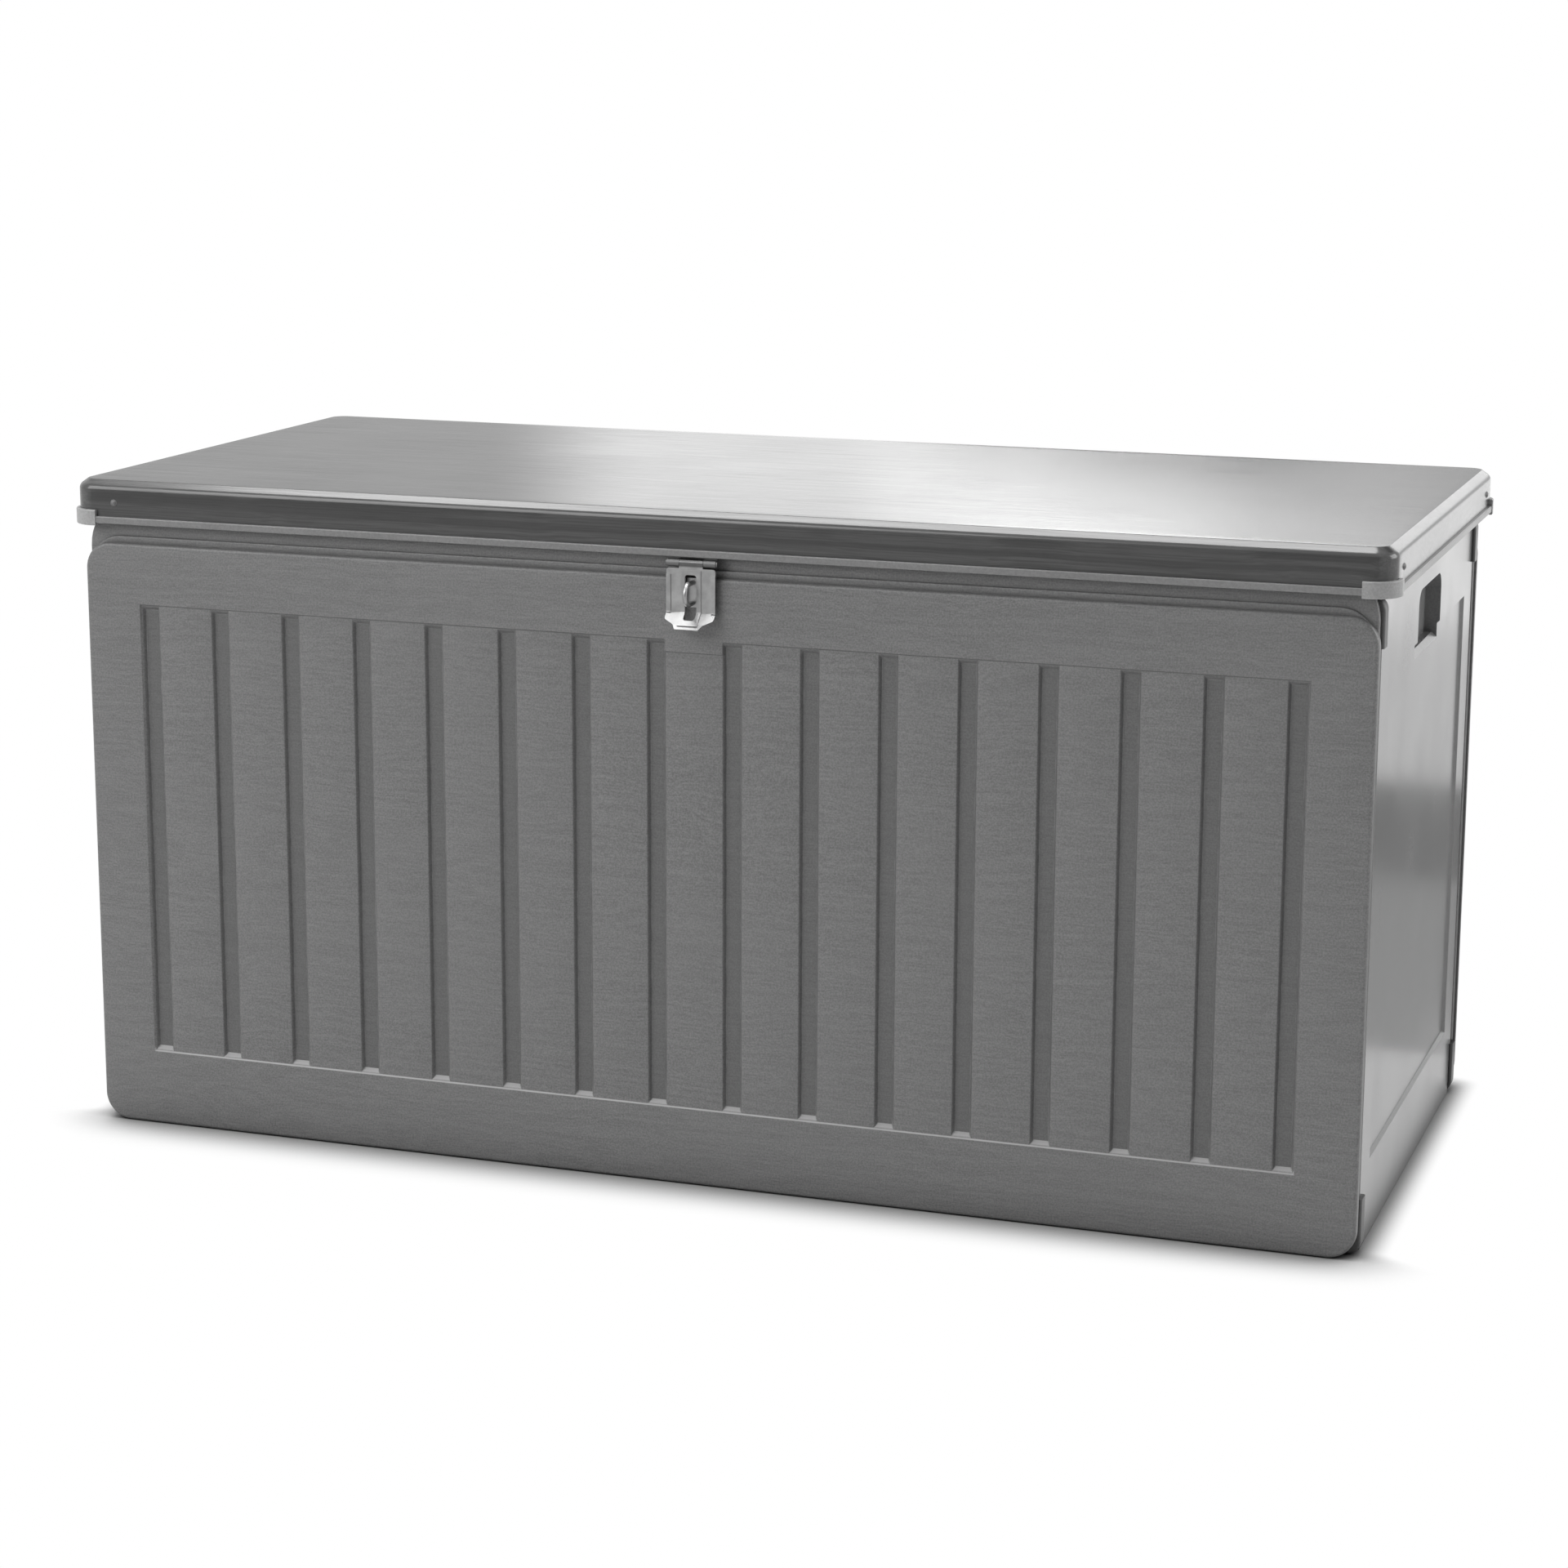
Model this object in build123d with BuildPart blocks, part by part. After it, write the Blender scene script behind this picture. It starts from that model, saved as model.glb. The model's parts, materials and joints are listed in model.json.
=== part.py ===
from build123d import *
from math import asin, cos, radians, sin, tan
import os

# Deck storage box: hollow moulded walls, a folded sheet lid on rear butt hinges, a hasp and a staple.
# Millimetres. Z is up, X runs along the box, the front faces -Y, the origin is under the floor's middle.

# Body
BODY_WIDTH = 1200.0  # across the front plate
BODY_DEPTH = 545.0  # from the front plate's face to the back plate's face
WALL_HEIGHT = 596.0  # top of all four walls, under the lid
FLANGE_RISE = 40.3  # how far the flange stands above the plate
LEDGE_RISE = 6.3  # step round the plate's top, how far it shows above the plate
LEDGE_THICKNESS = 3.0  # beyond the flange's face
LEDGE_SET_IN = 3.5  # ledge edge, in from the plate's edge
LEDGE_CORNER_R = 30.0
LEDGE_ROUND = 1.5
PLATE_THICKNESS = 8.0
FLANGE_THICKNESS = 8.0
CORE_THICKNESS = 8.0
FLANGE_SET_IN = 2.0  # flange edge, in from the plate's edge
CORE_SET_IN = 14.0  # core edge, in from the plate's edge, which leaves the shadow gap
SIDE_SET_IN = 2.0  # side wall's face, in from the plate's edge
SIDE_THICKNESS = 22.0
FLOOR_THICKNESS = 24.0
SKIN = 2.8  # moulded wall round the hollow
PANEL_CORNER_R = 25.0
FLANGE_CORNER_R = 45.0
CORE_CORNER_R = 8.0
PLATE_RIM_R = 3.5
BLOW_PIN_R = 3.0
BLOW_PIN_SPACING = 600.0
SIDE_EDGE_R = 2.0

# Slats of the front and back plates
GROOVE_COUNT = 16
GROOVE_MOUTH = 18.0
GROOVE_FLOOR = 12.0
GROOVE_DEPTH = 5.0
GROOVE_LAND = 0.5  # flat strip between a groove and the rim of the field
FIELD_DEPTH = 1.3
FIELD_SLOPE = 45.0  # degrees
SIDE_BORDER = 54.5
BOTTOM_BORDER = 70.5
TOP_BORDER = 55.7
LATCH_PAD_HEIGHT = 11.0

# Field and hand-hold of the side walls
RECESS_DEPTH = 2.5
RECESS_SIDE_BORDER = 43.5
RECESS_BOTTOM_BORDER = 71.0
RECESS_TOP_BORDER = 96.5
HANDLE_WIDTH = 122.0
HANDLE_HEIGHT = 56.0
HANDLE_DROP = 51.0  # from the wall's top to the pocket's top
HANDLE_DEPTH = 14.0
HANDLE_CORNER_R = 15.0
HANDLE_LIP = 4.5

# Corner connectors
LOWER_CONNECTOR_HEIGHT = 50.0
UPPER_CONNECTOR_HEIGHT = 43.0
CONNECTOR_TOP_DROP = 26.0  # from the wall's top to the upper connector's top
CONNECTOR_NOTCH = 9.0  # how far a connector reaches into the side wall's edge
CONNECTOR_PROUD = 3.5  # beyond the side wall's face
CONNECTOR_CORNER_R = 12.0  # at a nose's free end
CONNECTOR_ROUND = 2.5
CONNECTOR_FIT = 0.2
LEG_LENGTH = 46.0
LEG_THICKNESS = 4.0
LEG_SCREW_INSET = 14.0  # from the end of a leg to its screw

# Lid
LID_OVERHANG_X = 11.0  # skirt beyond the plate's edge
LID_OVERHANG_Y = 2.5  # skirt beyond the plate's face
LID_HEIGHT = 39.4  # from the trim's lower edge to the lid's top
LID_BEVEL = 8.5
LID_BEVEL_DROP = 6.0
LID_CORNER_R = 22.0
SHEET = 1.2
TRIM_THICKNESS = 3.0
TRIM_HEIGHT = 6.3
TRIM_WEB = 1.6
TRIM_ROUND = 1.0
CAP_THICKNESS = 3.6
CAP_LEG = 26.0
CAP_HEIGHT = 14.5
CAP_DROP = 2.4  # below the trim's lower edge
CAP_ROUND = 1.2
CAP_FIT = 0.1
RAIL_HEIGHT = 16.1
RAIL_WALL = 1.5
SIDE_RAIL_WIDTH = 18.0
STIFFENER_NAMES = ["left_lid_stiffener", "middle_lid_stiffener", "right_lid_stiffener"]
STIFFENER_WIDTH = 32.0
STIFFENER_HEIGHT = 12.0
STIFFENER_FLANGE = 9.0
STIFFENER_SHEET = 1.2

# Hinges, which the hasp shares with the rear
LEAF = 1.4  # a leaf on the lid; a body leaf fills the room behind the same plane
KNUCKLE_R = 3.5
KNUCKLE_BITE = 0.25  # how far a knuckle's back stands past its leaf
KNUCKLE_GAP = 0.3
LEAF_CLEAR = 4.3  # from the axis to a leaf beside another leaf's knuckle
PIN_R = 1.75
PIN_CLEARANCE = 0.05
PIN_HEAD_R = 2.8
PIN_HEAD = 1.4
HINGE_NAMES = ["left_hinge", "middle_hinge", "right_hinge"]
HINGE_END_INSET = 180.0  # from the plate's edge to the middle of an outer hinge
HINGE_WIDTH = 60.0
HINGE_KNUCKLE = 20.0  # the lid leaf's middle knuckle
HINGE_DROP = 8.0  # axis below the trim
HINGE_LAP = 34.1  # how far a body leaf reaches down the plate
LEAF_TOP_GAP = 7.2  # from the top of a leaf on the lid to the lid's bevel
HINGE_HOLE_EDGE = 12.0  # from a leaf's sides to its holes
HINGE_HOLE_INSET = 9.0  # from a leaf's end to its holes

# Hasp and staple
HASP_DROP = 5.4  # axis below the trim
BRACKET_WIDTH = 45.0
FLAP_WIDTH = 45.5
FLAP_THICKNESS = 2.0
FLAP_KNUCKLE = 22.0
BEND_DROP = 5.6  # from the staple's underside to the bend of the lip
LIP_LENGTH = 18.5
LIP_ANGLE = 45.0  # degrees from upright
LIP_END_WIDTH = 19.0
LIP_STRAIGHT = 5.5  # upright run below the bend before the corners draw in
LIP_OGEE = 4.0
LIP_ROUND = 2.5
SLOT_SIDE_CLEARANCE = 3.05  # beside the staple's rod
SLOT_TOP_CLEARANCE = 5.0  # above the staple
SLOT_BELOW_BEND = 6.0
RIM_WIDTH = 4.0
RIM_HEIGHT = 0.9
STAPLE_ROD_R = 2.3
STAPLE_PROUD = 16.6  # from the flap's front to the loop's outside
STAPLE_LEG_SPACING = 18.0
STAPLE_BASE = 1.5
STAPLE_MARGIN = 1.6  # base plate beyond the rod and the screw heads
STAPLE_DROP = 0.5  # from the plate's top to the top of the staple's base
STAPLE_SCREW_SPACING = 22.0

# Fasteners
SCREW_R = 2.0
SCREW_HEAD_R = 3.8
SCREW_HEAD = 1.8
SCREW_TIP = 2.0
SCREW_CLEARANCE = 0.05
SCREW_BITE = 6.0  # how deep a screw goes into a wall
RIVET_R = 2.0
RIVET_HEAD_R = 3.2
RIVET_HEAD = 1.7
RIVET_TAIL_R = 3.0
RIVET_TAIL = 1.2
RIVET_INSET = 44.0  # from a lid corner
RIVET_DROP = 20.3  # from the lid's top

# Worked out from the sizes above
FACE_Y = BODY_DEPTH / 2
PANEL_THICKNESS = PLATE_THICKNESS + FLANGE_THICKNESS + CORE_THICKNESS
FLANGE_BACK = PLATE_THICKNESS + FLANGE_THICKNESS
INNER_Y = FACE_Y - PANEL_THICKNESS
FLANGE_Y = FACE_Y - FLANGE_BACK
PLATE_HEIGHT = WALL_HEIGHT - FLANGE_RISE
LEDGE_HEIGHT = PLATE_HEIGHT + LEDGE_RISE
FLANGE_WIDTH = BODY_WIDTH - 2 * FLANGE_SET_IN
CORE_WIDTH = BODY_WIDTH - 2 * CORE_SET_IN
SIDE_X = BODY_WIDTH / 2 - SIDE_SET_IN
INNER_X = SIDE_X - SIDE_THICKNESS
SCREW_HOLE_R = SCREW_R + SCREW_CLEARANCE
RIVET_HOLE_R = RIVET_R + SCREW_CLEARANCE

FIELD_WIDTH = BODY_WIDTH - 2 * SIDE_BORDER
FIELD_HEIGHT = PLATE_HEIGHT - TOP_BORDER - BOTTOM_BORDER
FIELD_MIDDLE = BOTTOM_BORDER + FIELD_HEIGHT / 2
FIELD_TOP = PLATE_HEIGHT - TOP_BORDER
FIELD_RUN = FIELD_DEPTH * tan(radians(FIELD_SLOPE))
GROOVE_LENGTH = FIELD_HEIGHT - 2 * (FIELD_RUN + GROOVE_LAND)
GROOVE_SPAN = FIELD_WIDTH - 2 * (FIELD_RUN + GROOVE_LAND) - GROOVE_MOUTH
GROOVE_PITCH = GROOVE_SPAN / (GROOVE_COUNT - 1)
SLAT_WIDTH = GROOVE_PITCH - GROOVE_MOUTH
VOID_FRONT = max(PLATE_THICKNESS, FIELD_DEPTH + GROOVE_DEPTH) + SKIN
VOID_BACK = PANEL_THICKNESS - SKIN

LID_WIDTH = BODY_WIDTH + 2 * LID_OVERHANG_X
LID_DEPTH = BODY_DEPTH + 2 * LID_OVERHANG_Y
SHEET_UNDER = WALL_HEIGHT + RAIL_HEIGHT
LID_TOP = SHEET_UNDER + SHEET
TRIM_LOW = LID_TOP - LID_HEIGHT
SKIRT_LOW = TRIM_LOW + TRIM_WEB
CAP_LOW = TRIM_LOW - CAP_DROP
SKIRT_INNER_Y = LID_DEPTH / 2 - SHEET
LEAF_INNER_Y = SKIRT_INNER_Y - LEAF
BODY_LEAF = SKIRT_INNER_Y - FACE_Y
AXIS_Y = LEAF_INNER_Y + KNUCKLE_R - KNUCKLE_BITE
HINGE_Z = TRIM_LOW - HINGE_DROP
HASP_Z = TRIM_LOW - HASP_DROP
RIVET_Z = LID_TOP - RIVET_DROP

FRONT = Plane.XZ.offset(FACE_Y)
BACK = Plane(origin=(0, FACE_Y, 0), x_dir=(-1, 0, 0), z_dir=(0, 1, 0))
RIGHT = Plane.YZ.offset(SIDE_X)
LEFT = Plane(origin=(-SIDE_X, 0, 0), x_dir=(0, -1, 0), z_dir=(-1, 0, 0))
UP = Vector(0, 0, 1)

# Each connector height: bottom and top of its nose, and where its inner legs start
CONNECTOR_TOP = WALL_HEIGHT - CONNECTOR_TOP_DROP
UPPER_CONNECTOR_LOW = CONNECTOR_TOP - UPPER_CONNECTOR_HEIGHT
CONNECTOR_LEVELS = {
    "lower": (0.0, LOWER_CONNECTOR_HEIGHT, FLOOR_THICKNESS),
    "upper": (UPPER_CONNECTOR_LOW, CONNECTOR_TOP, UPPER_CONNECTOR_LOW),
}
SIDES = {"left": -1, "right": 1}
ENDS = {"front": -1, "rear": 1}
LEG_SCREW_X = INNER_X - LEG_LENGTH + LEG_SCREW_INSET
LEG_SCREW_Y = INNER_Y - LEG_LENGTH + LEG_SCREW_INSET


def spread(count, spacing):
    """Places for a row of equal pieces about zero."""
    return [(i - (count - 1) / 2) * spacing for i in range(count)]


def leg_middle(level):
    """Height of the screws in a connector's legs."""
    low, high, leg_low = CONNECTOR_LEVELS[level]
    return (leg_low + high) / 2


HINGE_SPACING = (BODY_WIDTH - 2 * HINGE_END_INSET) / (len(HINGE_NAMES) - 1)
HINGE_PLACES = spread(len(HINGE_NAMES), HINGE_SPACING)
HINGE_HOLES = spread(2, HINGE_WIDTH - 2 * HINGE_HOLE_EDGE)
BODY_LEAF_LOW = PLATE_HEIGHT - HINGE_LAP
LID_LEAF_HIGH = SHEET_UNDER - LID_BEVEL_DROP - LEAF_TOP_GAP
HINGE_SCREW_Z = BODY_LEAF_LOW + HINGE_HOLE_INSET
HINGE_RIVET_Z = LID_LEAF_HIGH - HINGE_HOLE_INSET
LOOP_R = STAPLE_LEG_SPACING / 2
STAPLE_HALF = LOOP_R + STAPLE_ROD_R
STAPLE_BASE_WIDTH = STAPLE_SCREW_SPACING + 2 * (SCREW_HEAD_R + STAPLE_MARGIN)
STAPLE_BASE_HEIGHT = 2 * (STAPLE_HALF + STAPLE_MARGIN)
STAPLE_Z = PLATE_HEIGHT - STAPLE_DROP - STAPLE_BASE_HEIGHT / 2
PANEL_LEG_HOLES = [
    (side * LEG_SCREW_X, leg_middle(level)) for side in SIDES.values() for level in CONNECTOR_LEVELS
]
SIDE_LEG_HOLES = [
    (end * LEG_SCREW_Y, leg_middle(level)) for end in ENDS.values() for level in CONNECTOR_LEVELS
]
HINGE_SCREW_HOLES = [(x + dx, HINGE_SCREW_Z) for x in HINGE_PLACES for dx in HINGE_HOLES]
STAPLE_SCREW_HOLES = [(x, STAPLE_Z) for x in spread(2, STAPLE_SCREW_SPACING)]

os.makedirs("parts", exist_ok=True)


def write(piece, name):
    """Label a finished piece and write it as a STEP file."""
    piece.part.label = name
    export_step(piece.part, f"parts/{name}.step")


# Walls and floor


def groove(face):
    """The room of one slat groove at the plate's middle, narrower and shorter at its floor."""
    with BuildPart() as room:
        with BuildSketch(face.offset(-FIELD_DEPTH)):
            with Locations((0, FIELD_MIDDLE)):
                Rectangle(GROOVE_MOUTH, GROOVE_LENGTH)
        with BuildSketch(face.offset(-FIELD_DEPTH - GROOVE_DEPTH)):
            with Locations((0, FIELD_MIDDLE)):
                Rectangle(GROOVE_FLOOR, GROOVE_LENGTH - 2 * GROOVE_DEPTH)
        loft()
    return room.part


def wall_panel(face, outer_holes, has_latch_pad):
    """Front or back wall: a grooved plate on a ledge, a flange and a core, hollow between two skins."""
    slat_groove = groove(face)
    outward = Axis(face.origin, face.z_dir)
    blow_y = (face.origin - face.z_dir * ((VOID_FRONT + VOID_BACK) / 2)).Y
    with BuildPart() as panel:
        with BuildSketch(face.offset(-PLATE_THICKNESS)):
            with Locations((0, LEDGE_HEIGHT / 2)):
                RectangleRounded(BODY_WIDTH - 2 * LEDGE_SET_IN, LEDGE_HEIGHT, LEDGE_CORNER_R)
        extrude(amount=LEDGE_THICKNESS)
        fillet(panel.faces().sort_by(outward)[-1].edges(), LEDGE_ROUND)
        with BuildSketch(face.offset(-PLATE_THICKNESS)):
            with Locations((0, PLATE_HEIGHT / 2)):
                RectangleRounded(BODY_WIDTH, PLATE_HEIGHT, PANEL_CORNER_R)
        extrude(amount=PLATE_THICKNESS)
        fillet(panel.faces().sort_by(outward)[-1].edges(), PLATE_RIM_R)
        with BuildSketch(face.offset(-FLANGE_BACK)):
            with Locations((0, WALL_HEIGHT / 2)):
                RectangleRounded(FLANGE_WIDTH, WALL_HEIGHT, FLANGE_CORNER_R)
        extrude(amount=FLANGE_THICKNESS)
        with BuildSketch(face.offset(-PANEL_THICKNESS)):
            with Locations((0, WALL_HEIGHT / 2)):
                RectangleRounded(CORE_WIDTH, WALL_HEIGHT, CORE_CORNER_R)
        extrude(amount=CORE_THICKNESS)

        # The slat field and its grooves, whose walls and ends slope
        with BuildSketch(face):
            with Locations((0, FIELD_MIDDLE)):
                Rectangle(FIELD_WIDTH, FIELD_HEIGHT)
            if has_latch_pad:
                with Locations((0, FIELD_TOP - LATCH_PAD_HEIGHT / 2)):
                    Rectangle(SLAT_WIDTH, LATCH_PAD_HEIGHT, mode=Mode.SUBTRACT)
        extrude(amount=-FIELD_DEPTH, taper=FIELD_SLOPE, mode=Mode.SUBTRACT)
        with Locations(*[(x, 0, 0) for x in spread(GROOVE_COUNT, GROOVE_PITCH)]):
            add(slat_groove, mode=Mode.SUBTRACT)

        # The hollow, deeper behind each slat
        with BuildSketch(face.offset(-VOID_BACK)):
            with Locations((0, WALL_HEIGHT / 2)):
                RectangleRounded(CORE_WIDTH - 2 * SKIN, WALL_HEIGHT - 2 * SKIN, PANEL_CORNER_R)
        extrude(amount=VOID_BACK - VOID_FRONT, mode=Mode.SUBTRACT)
        with BuildSketch(face.offset(-VOID_FRONT)):
            with Locations(*[(x, FIELD_MIDDLE) for x in spread(GROOVE_COUNT - 1, GROOVE_PITCH)]):
                Rectangle(SLAT_WIDTH - 2 * SKIN, GROOVE_LENGTH - 2 * (LATCH_PAD_HEIGHT + SKIN))
        extrude(amount=VOID_FRONT - FIELD_DEPTH - SKIN, mode=Mode.SUBTRACT)
        with BuildSketch(Plane.XY.offset(WALL_HEIGHT)):
            with Locations(*[(x, blow_y) for x in spread(2, BLOW_PIN_SPACING)]):
                Circle(BLOW_PIN_R)
        extrude(amount=-2 * SKIN, mode=Mode.SUBTRACT)

        # Pilot holes for screws
        with BuildSketch(face.offset(-PANEL_THICKNESS)):
            with Locations(*PANEL_LEG_HOLES):
                Circle(SCREW_HOLE_R)
        extrude(amount=2 * SKIN, mode=Mode.SUBTRACT)
        with BuildSketch(face):
            with Locations(*outer_holes):
                Circle(SCREW_HOLE_R)
        extrude(amount=-VOID_FRONT - SKIN, mode=Mode.SUBTRACT)
    return panel


def side_panel(face):
    """End wall: a bordered field with a hand-hold pocket, notched at the corners, hollow inside."""
    width = 2 * INNER_Y
    recess_width = width - 2 * RECESS_SIDE_BORDER
    recess_height = WALL_HEIGHT - RECESS_TOP_BORDER - RECESS_BOTTOM_BORDER
    recess_middle = RECESS_BOTTOM_BORDER + recess_height / 2
    handle_middle = WALL_HEIGHT - HANDLE_DROP - HANDLE_HEIGHT / 2
    handle_low = handle_middle - HANDLE_HEIGHT / 2
    void_front = RECESS_DEPTH + SKIN
    void_back = SIDE_THICKNESS - SKIN
    void_width = width - 2 * (CONNECTOR_NOTCH + CONNECTOR_FIT + SKIN)
    blow_x = (face.origin - face.z_dir * ((void_front + void_back) / 2)).X
    profile = Plane(origin=face.origin, x_dir=face.z_dir, z_dir=face.z_dir.cross(UP))
    outward = Axis(face.origin, face.z_dir)
    with BuildPart() as panel:
        with BuildSketch(face.offset(-SIDE_THICKNESS)):
            with Locations((0, WALL_HEIGHT / 2)):
                Rectangle(width, WALL_HEIGHT)
        extrude(amount=SIDE_THICKNESS)
        fillet(panel.faces().sort_by(outward)[-1].edges().filter_by(Axis.Z), SIDE_EDGE_R)

        # Notches for the corner connectors
        with BuildSketch(face.offset(-SIDE_THICKNESS)):
            for low, high, leg_low in CONNECTOR_LEVELS.values():
                with Locations((-width / 2, (low + high) / 2), (width / 2, (low + high) / 2)):
                    Rectangle(2 * (CONNECTOR_NOTCH + CONNECTOR_FIT), high - low + 2 * CONNECTOR_FIT)
        extrude(amount=SIDE_THICKNESS, mode=Mode.SUBTRACT)

        # The sunk field, the hand-hold and its sloped lower lip
        with BuildSketch(face):
            with Locations((0, recess_middle)):
                Rectangle(recess_width, recess_height)
        extrude(amount=-RECESS_DEPTH, taper=FIELD_SLOPE, mode=Mode.SUBTRACT)
        with BuildSketch(face):
            with Locations((0, handle_middle)):
                RectangleRounded(HANDLE_WIDTH, HANDLE_HEIGHT, HANDLE_CORNER_R)
            with Locations((0, handle_low + HANDLE_HEIGHT / 4)):
                Rectangle(HANDLE_WIDTH, HANDLE_HEIGHT / 2)
        extrude(amount=-HANDLE_DEPTH, mode=Mode.SUBTRACT)
        with BuildSketch(profile):
            with BuildLine():
                Polyline(
                    (-RECESS_DEPTH - HANDLE_LIP, handle_low),
                    (-RECESS_DEPTH, handle_low - HANDLE_LIP),
                    (0, handle_low - HANDLE_LIP),
                    (0, handle_low),
                    close=True,
                )
            make_face()
        extrude(amount=HANDLE_WIDTH / 2, both=True, mode=Mode.SUBTRACT)

        # The hollow goes round the pocket
        with BuildSketch(face.offset(-void_back)):
            with Locations((0, WALL_HEIGHT / 2)):
                Rectangle(void_width, WALL_HEIGHT - 2 * SKIN)
            with Locations((0, handle_middle - HANDLE_LIP / 2)):
                Rectangle(
                    HANDLE_WIDTH + 2 * SKIN,
                    HANDLE_HEIGHT + HANDLE_LIP + 2 * SKIN,
                    mode=Mode.SUBTRACT,
                )
        extrude(amount=void_back - void_front, mode=Mode.SUBTRACT)
        with BuildSketch(Plane.XY.offset(WALL_HEIGHT)):
            with Locations((blow_x, 0)):
                Circle(BLOW_PIN_R)
        extrude(amount=-2 * SKIN, mode=Mode.SUBTRACT)
        with BuildSketch(face.offset(-SIDE_THICKNESS)):
            with Locations(*SIDE_LEG_HOLES):
                Circle(SCREW_HOLE_R)
        extrude(amount=2 * SKIN, mode=Mode.SUBTRACT)
    return panel


write(wall_panel(FRONT, STAPLE_SCREW_HOLES, True), "front_panel")
write(wall_panel(BACK, HINGE_SCREW_HOLES, False), "back_panel")
write(side_panel(RIGHT), "right_side_panel")
write(side_panel(LEFT), "left_side_panel")

with BuildPart() as floor_panel:
    with BuildSketch():
        Rectangle(2 * INNER_X, 2 * INNER_Y)
    extrude(amount=FLOOR_THICKNESS)
    with BuildSketch(Plane.XY.offset(SKIN)):
        Rectangle(2 * (INNER_X - SKIN), 2 * (INNER_Y - SKIN))
    extrude(amount=FLOOR_THICKNESS - 2 * SKIN, mode=Mode.SUBTRACT)
    with BuildSketch(Plane.XZ.offset(INNER_Y)):
        with Locations((0, FLOOR_THICKNESS / 2)):
            Circle(BLOW_PIN_R)
    extrude(amount=-2 * SKIN, mode=Mode.SUBTRACT)
write(floor_panel, "floor_panel")


# Corner connectors


def corner_connector(side, end, level):
    """A nose in the shadow gap and the side wall's notch, with two legs inside the corner."""
    low, high, leg_low = CONNECTOR_LEVELS[level]
    nose_x = SIDE_X + CONNECTOR_PROUD
    core_x = CORE_WIDTH / 2
    leg_x = INNER_X - LEG_LENGTH / 2
    leg_y = INNER_Y - LEG_LENGTH / 2
    outward = Axis((0, 0, 0), (side, 0, 0))
    with BuildPart() as connector:
        with BuildSketch(Plane.XY.offset(low)):
            with Locations((side * (INNER_X + nose_x) / 2, end * (INNER_Y - CONNECTOR_NOTCH / 2))):
                Rectangle(nose_x - INNER_X, CONNECTOR_NOTCH)
            with Locations((side * (core_x + nose_x) / 2, end * (INNER_Y + FLANGE_Y) / 2)):
                Rectangle(nose_x - core_x, FLANGE_Y - INNER_Y)
        extrude(amount=high - low)
        rim = connector.faces().sort_by(outward)[-1].edges()
        fillet(rim.filter_by(Axis.Y).sort_by(Axis.Z)[-1 if level == "upper" else 0], CONNECTOR_CORNER_R)
        fillet(connector.faces().sort_by(outward)[-1].edges().filter_by(Axis.Z), CONNECTOR_ROUND)
        with BuildSketch(Plane.XY.offset(leg_low)):
            with Locations((side * (INNER_X - LEG_THICKNESS / 2), end * leg_y)):
                Rectangle(LEG_THICKNESS, LEG_LENGTH)
            with Locations((side * leg_x, end * (INNER_Y - LEG_THICKNESS / 2))):
                Rectangle(LEG_LENGTH, LEG_THICKNESS)
        extrude(amount=high - leg_low)
        with BuildSketch(Plane.YZ.offset(side * INNER_X)):
            with Locations((end * LEG_SCREW_Y, leg_middle(level))):
                Circle(SCREW_HOLE_R)
        extrude(amount=-side * LEG_THICKNESS, mode=Mode.SUBTRACT)
        with BuildSketch(Plane.XZ.offset(-end * INNER_Y)):
            with Locations((side * LEG_SCREW_X, leg_middle(level))):
                Circle(SCREW_HOLE_R)
        extrude(amount=end * LEG_THICKNESS, mode=Mode.SUBTRACT)
    return connector


for level in CONNECTOR_LEVELS:
    for end_name, end in ENDS.items():
        for side_name, side in SIDES.items():
            write(corner_connector(side, end, level), f"{end_name}_{side_name}_{level}_connector")


# Fasteners


def fastener(seat, head_r, head, shank_r, tail):
    """A dome-headed fastener turned about the seat's normal; tail ends its outline below the head."""
    dome_r = (head_r**2 + head**2) / (2 * head)
    half = asin(head_r / dome_r) / 2
    outline = Plane(origin=seat.origin, x_dir=seat.x_dir, z_dir=-seat.y_dir)
    with BuildPart() as piece:
        with BuildSketch(outline):
            with BuildLine():
                crown = (dome_r * sin(half), head - dome_r + dome_r * cos(half))
                ThreePointArc((0, head), crown, (head_r, 0))
                Polyline((head_r, 0), (shank_r, 0), *tail, (0, head))
            make_face()
        revolve(axis=Axis(seat.origin, seat.z_dir))
    return piece.part


def screw(seat, grip):
    """A screw that clamps a sheet of thickness grip and bites into the wall behind it."""
    end = grip + SCREW_BITE
    tail = [(SCREW_R, -end), (0, -end - SCREW_TIP)]
    return fastener(seat, SCREW_HEAD_R, SCREW_HEAD, SCREW_R, tail)


def rivet(seat, grip):
    """A rivet with its tail closed behind a stack of thickness grip."""
    end = grip + RIVET_TAIL
    tail = [(RIVET_R, -grip), (RIVET_TAIL_R, -grip), (RIVET_TAIL_R, -end), (0, -end)]
    return fastener(seat, RIVET_HEAD_R, RIVET_HEAD, RIVET_R, tail)


def write_group(pieces, name):
    """Write loose pieces of one kind as one node."""
    with BuildPart() as group:
        add(pieces)
    write(group, name)


def facing(x, y, z, normal):
    """A seat at a point, with its normal along a level direction."""
    return Plane(origin=(x, y, z), x_dir=UP.cross(Vector(*normal)), z_dir=normal)


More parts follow.
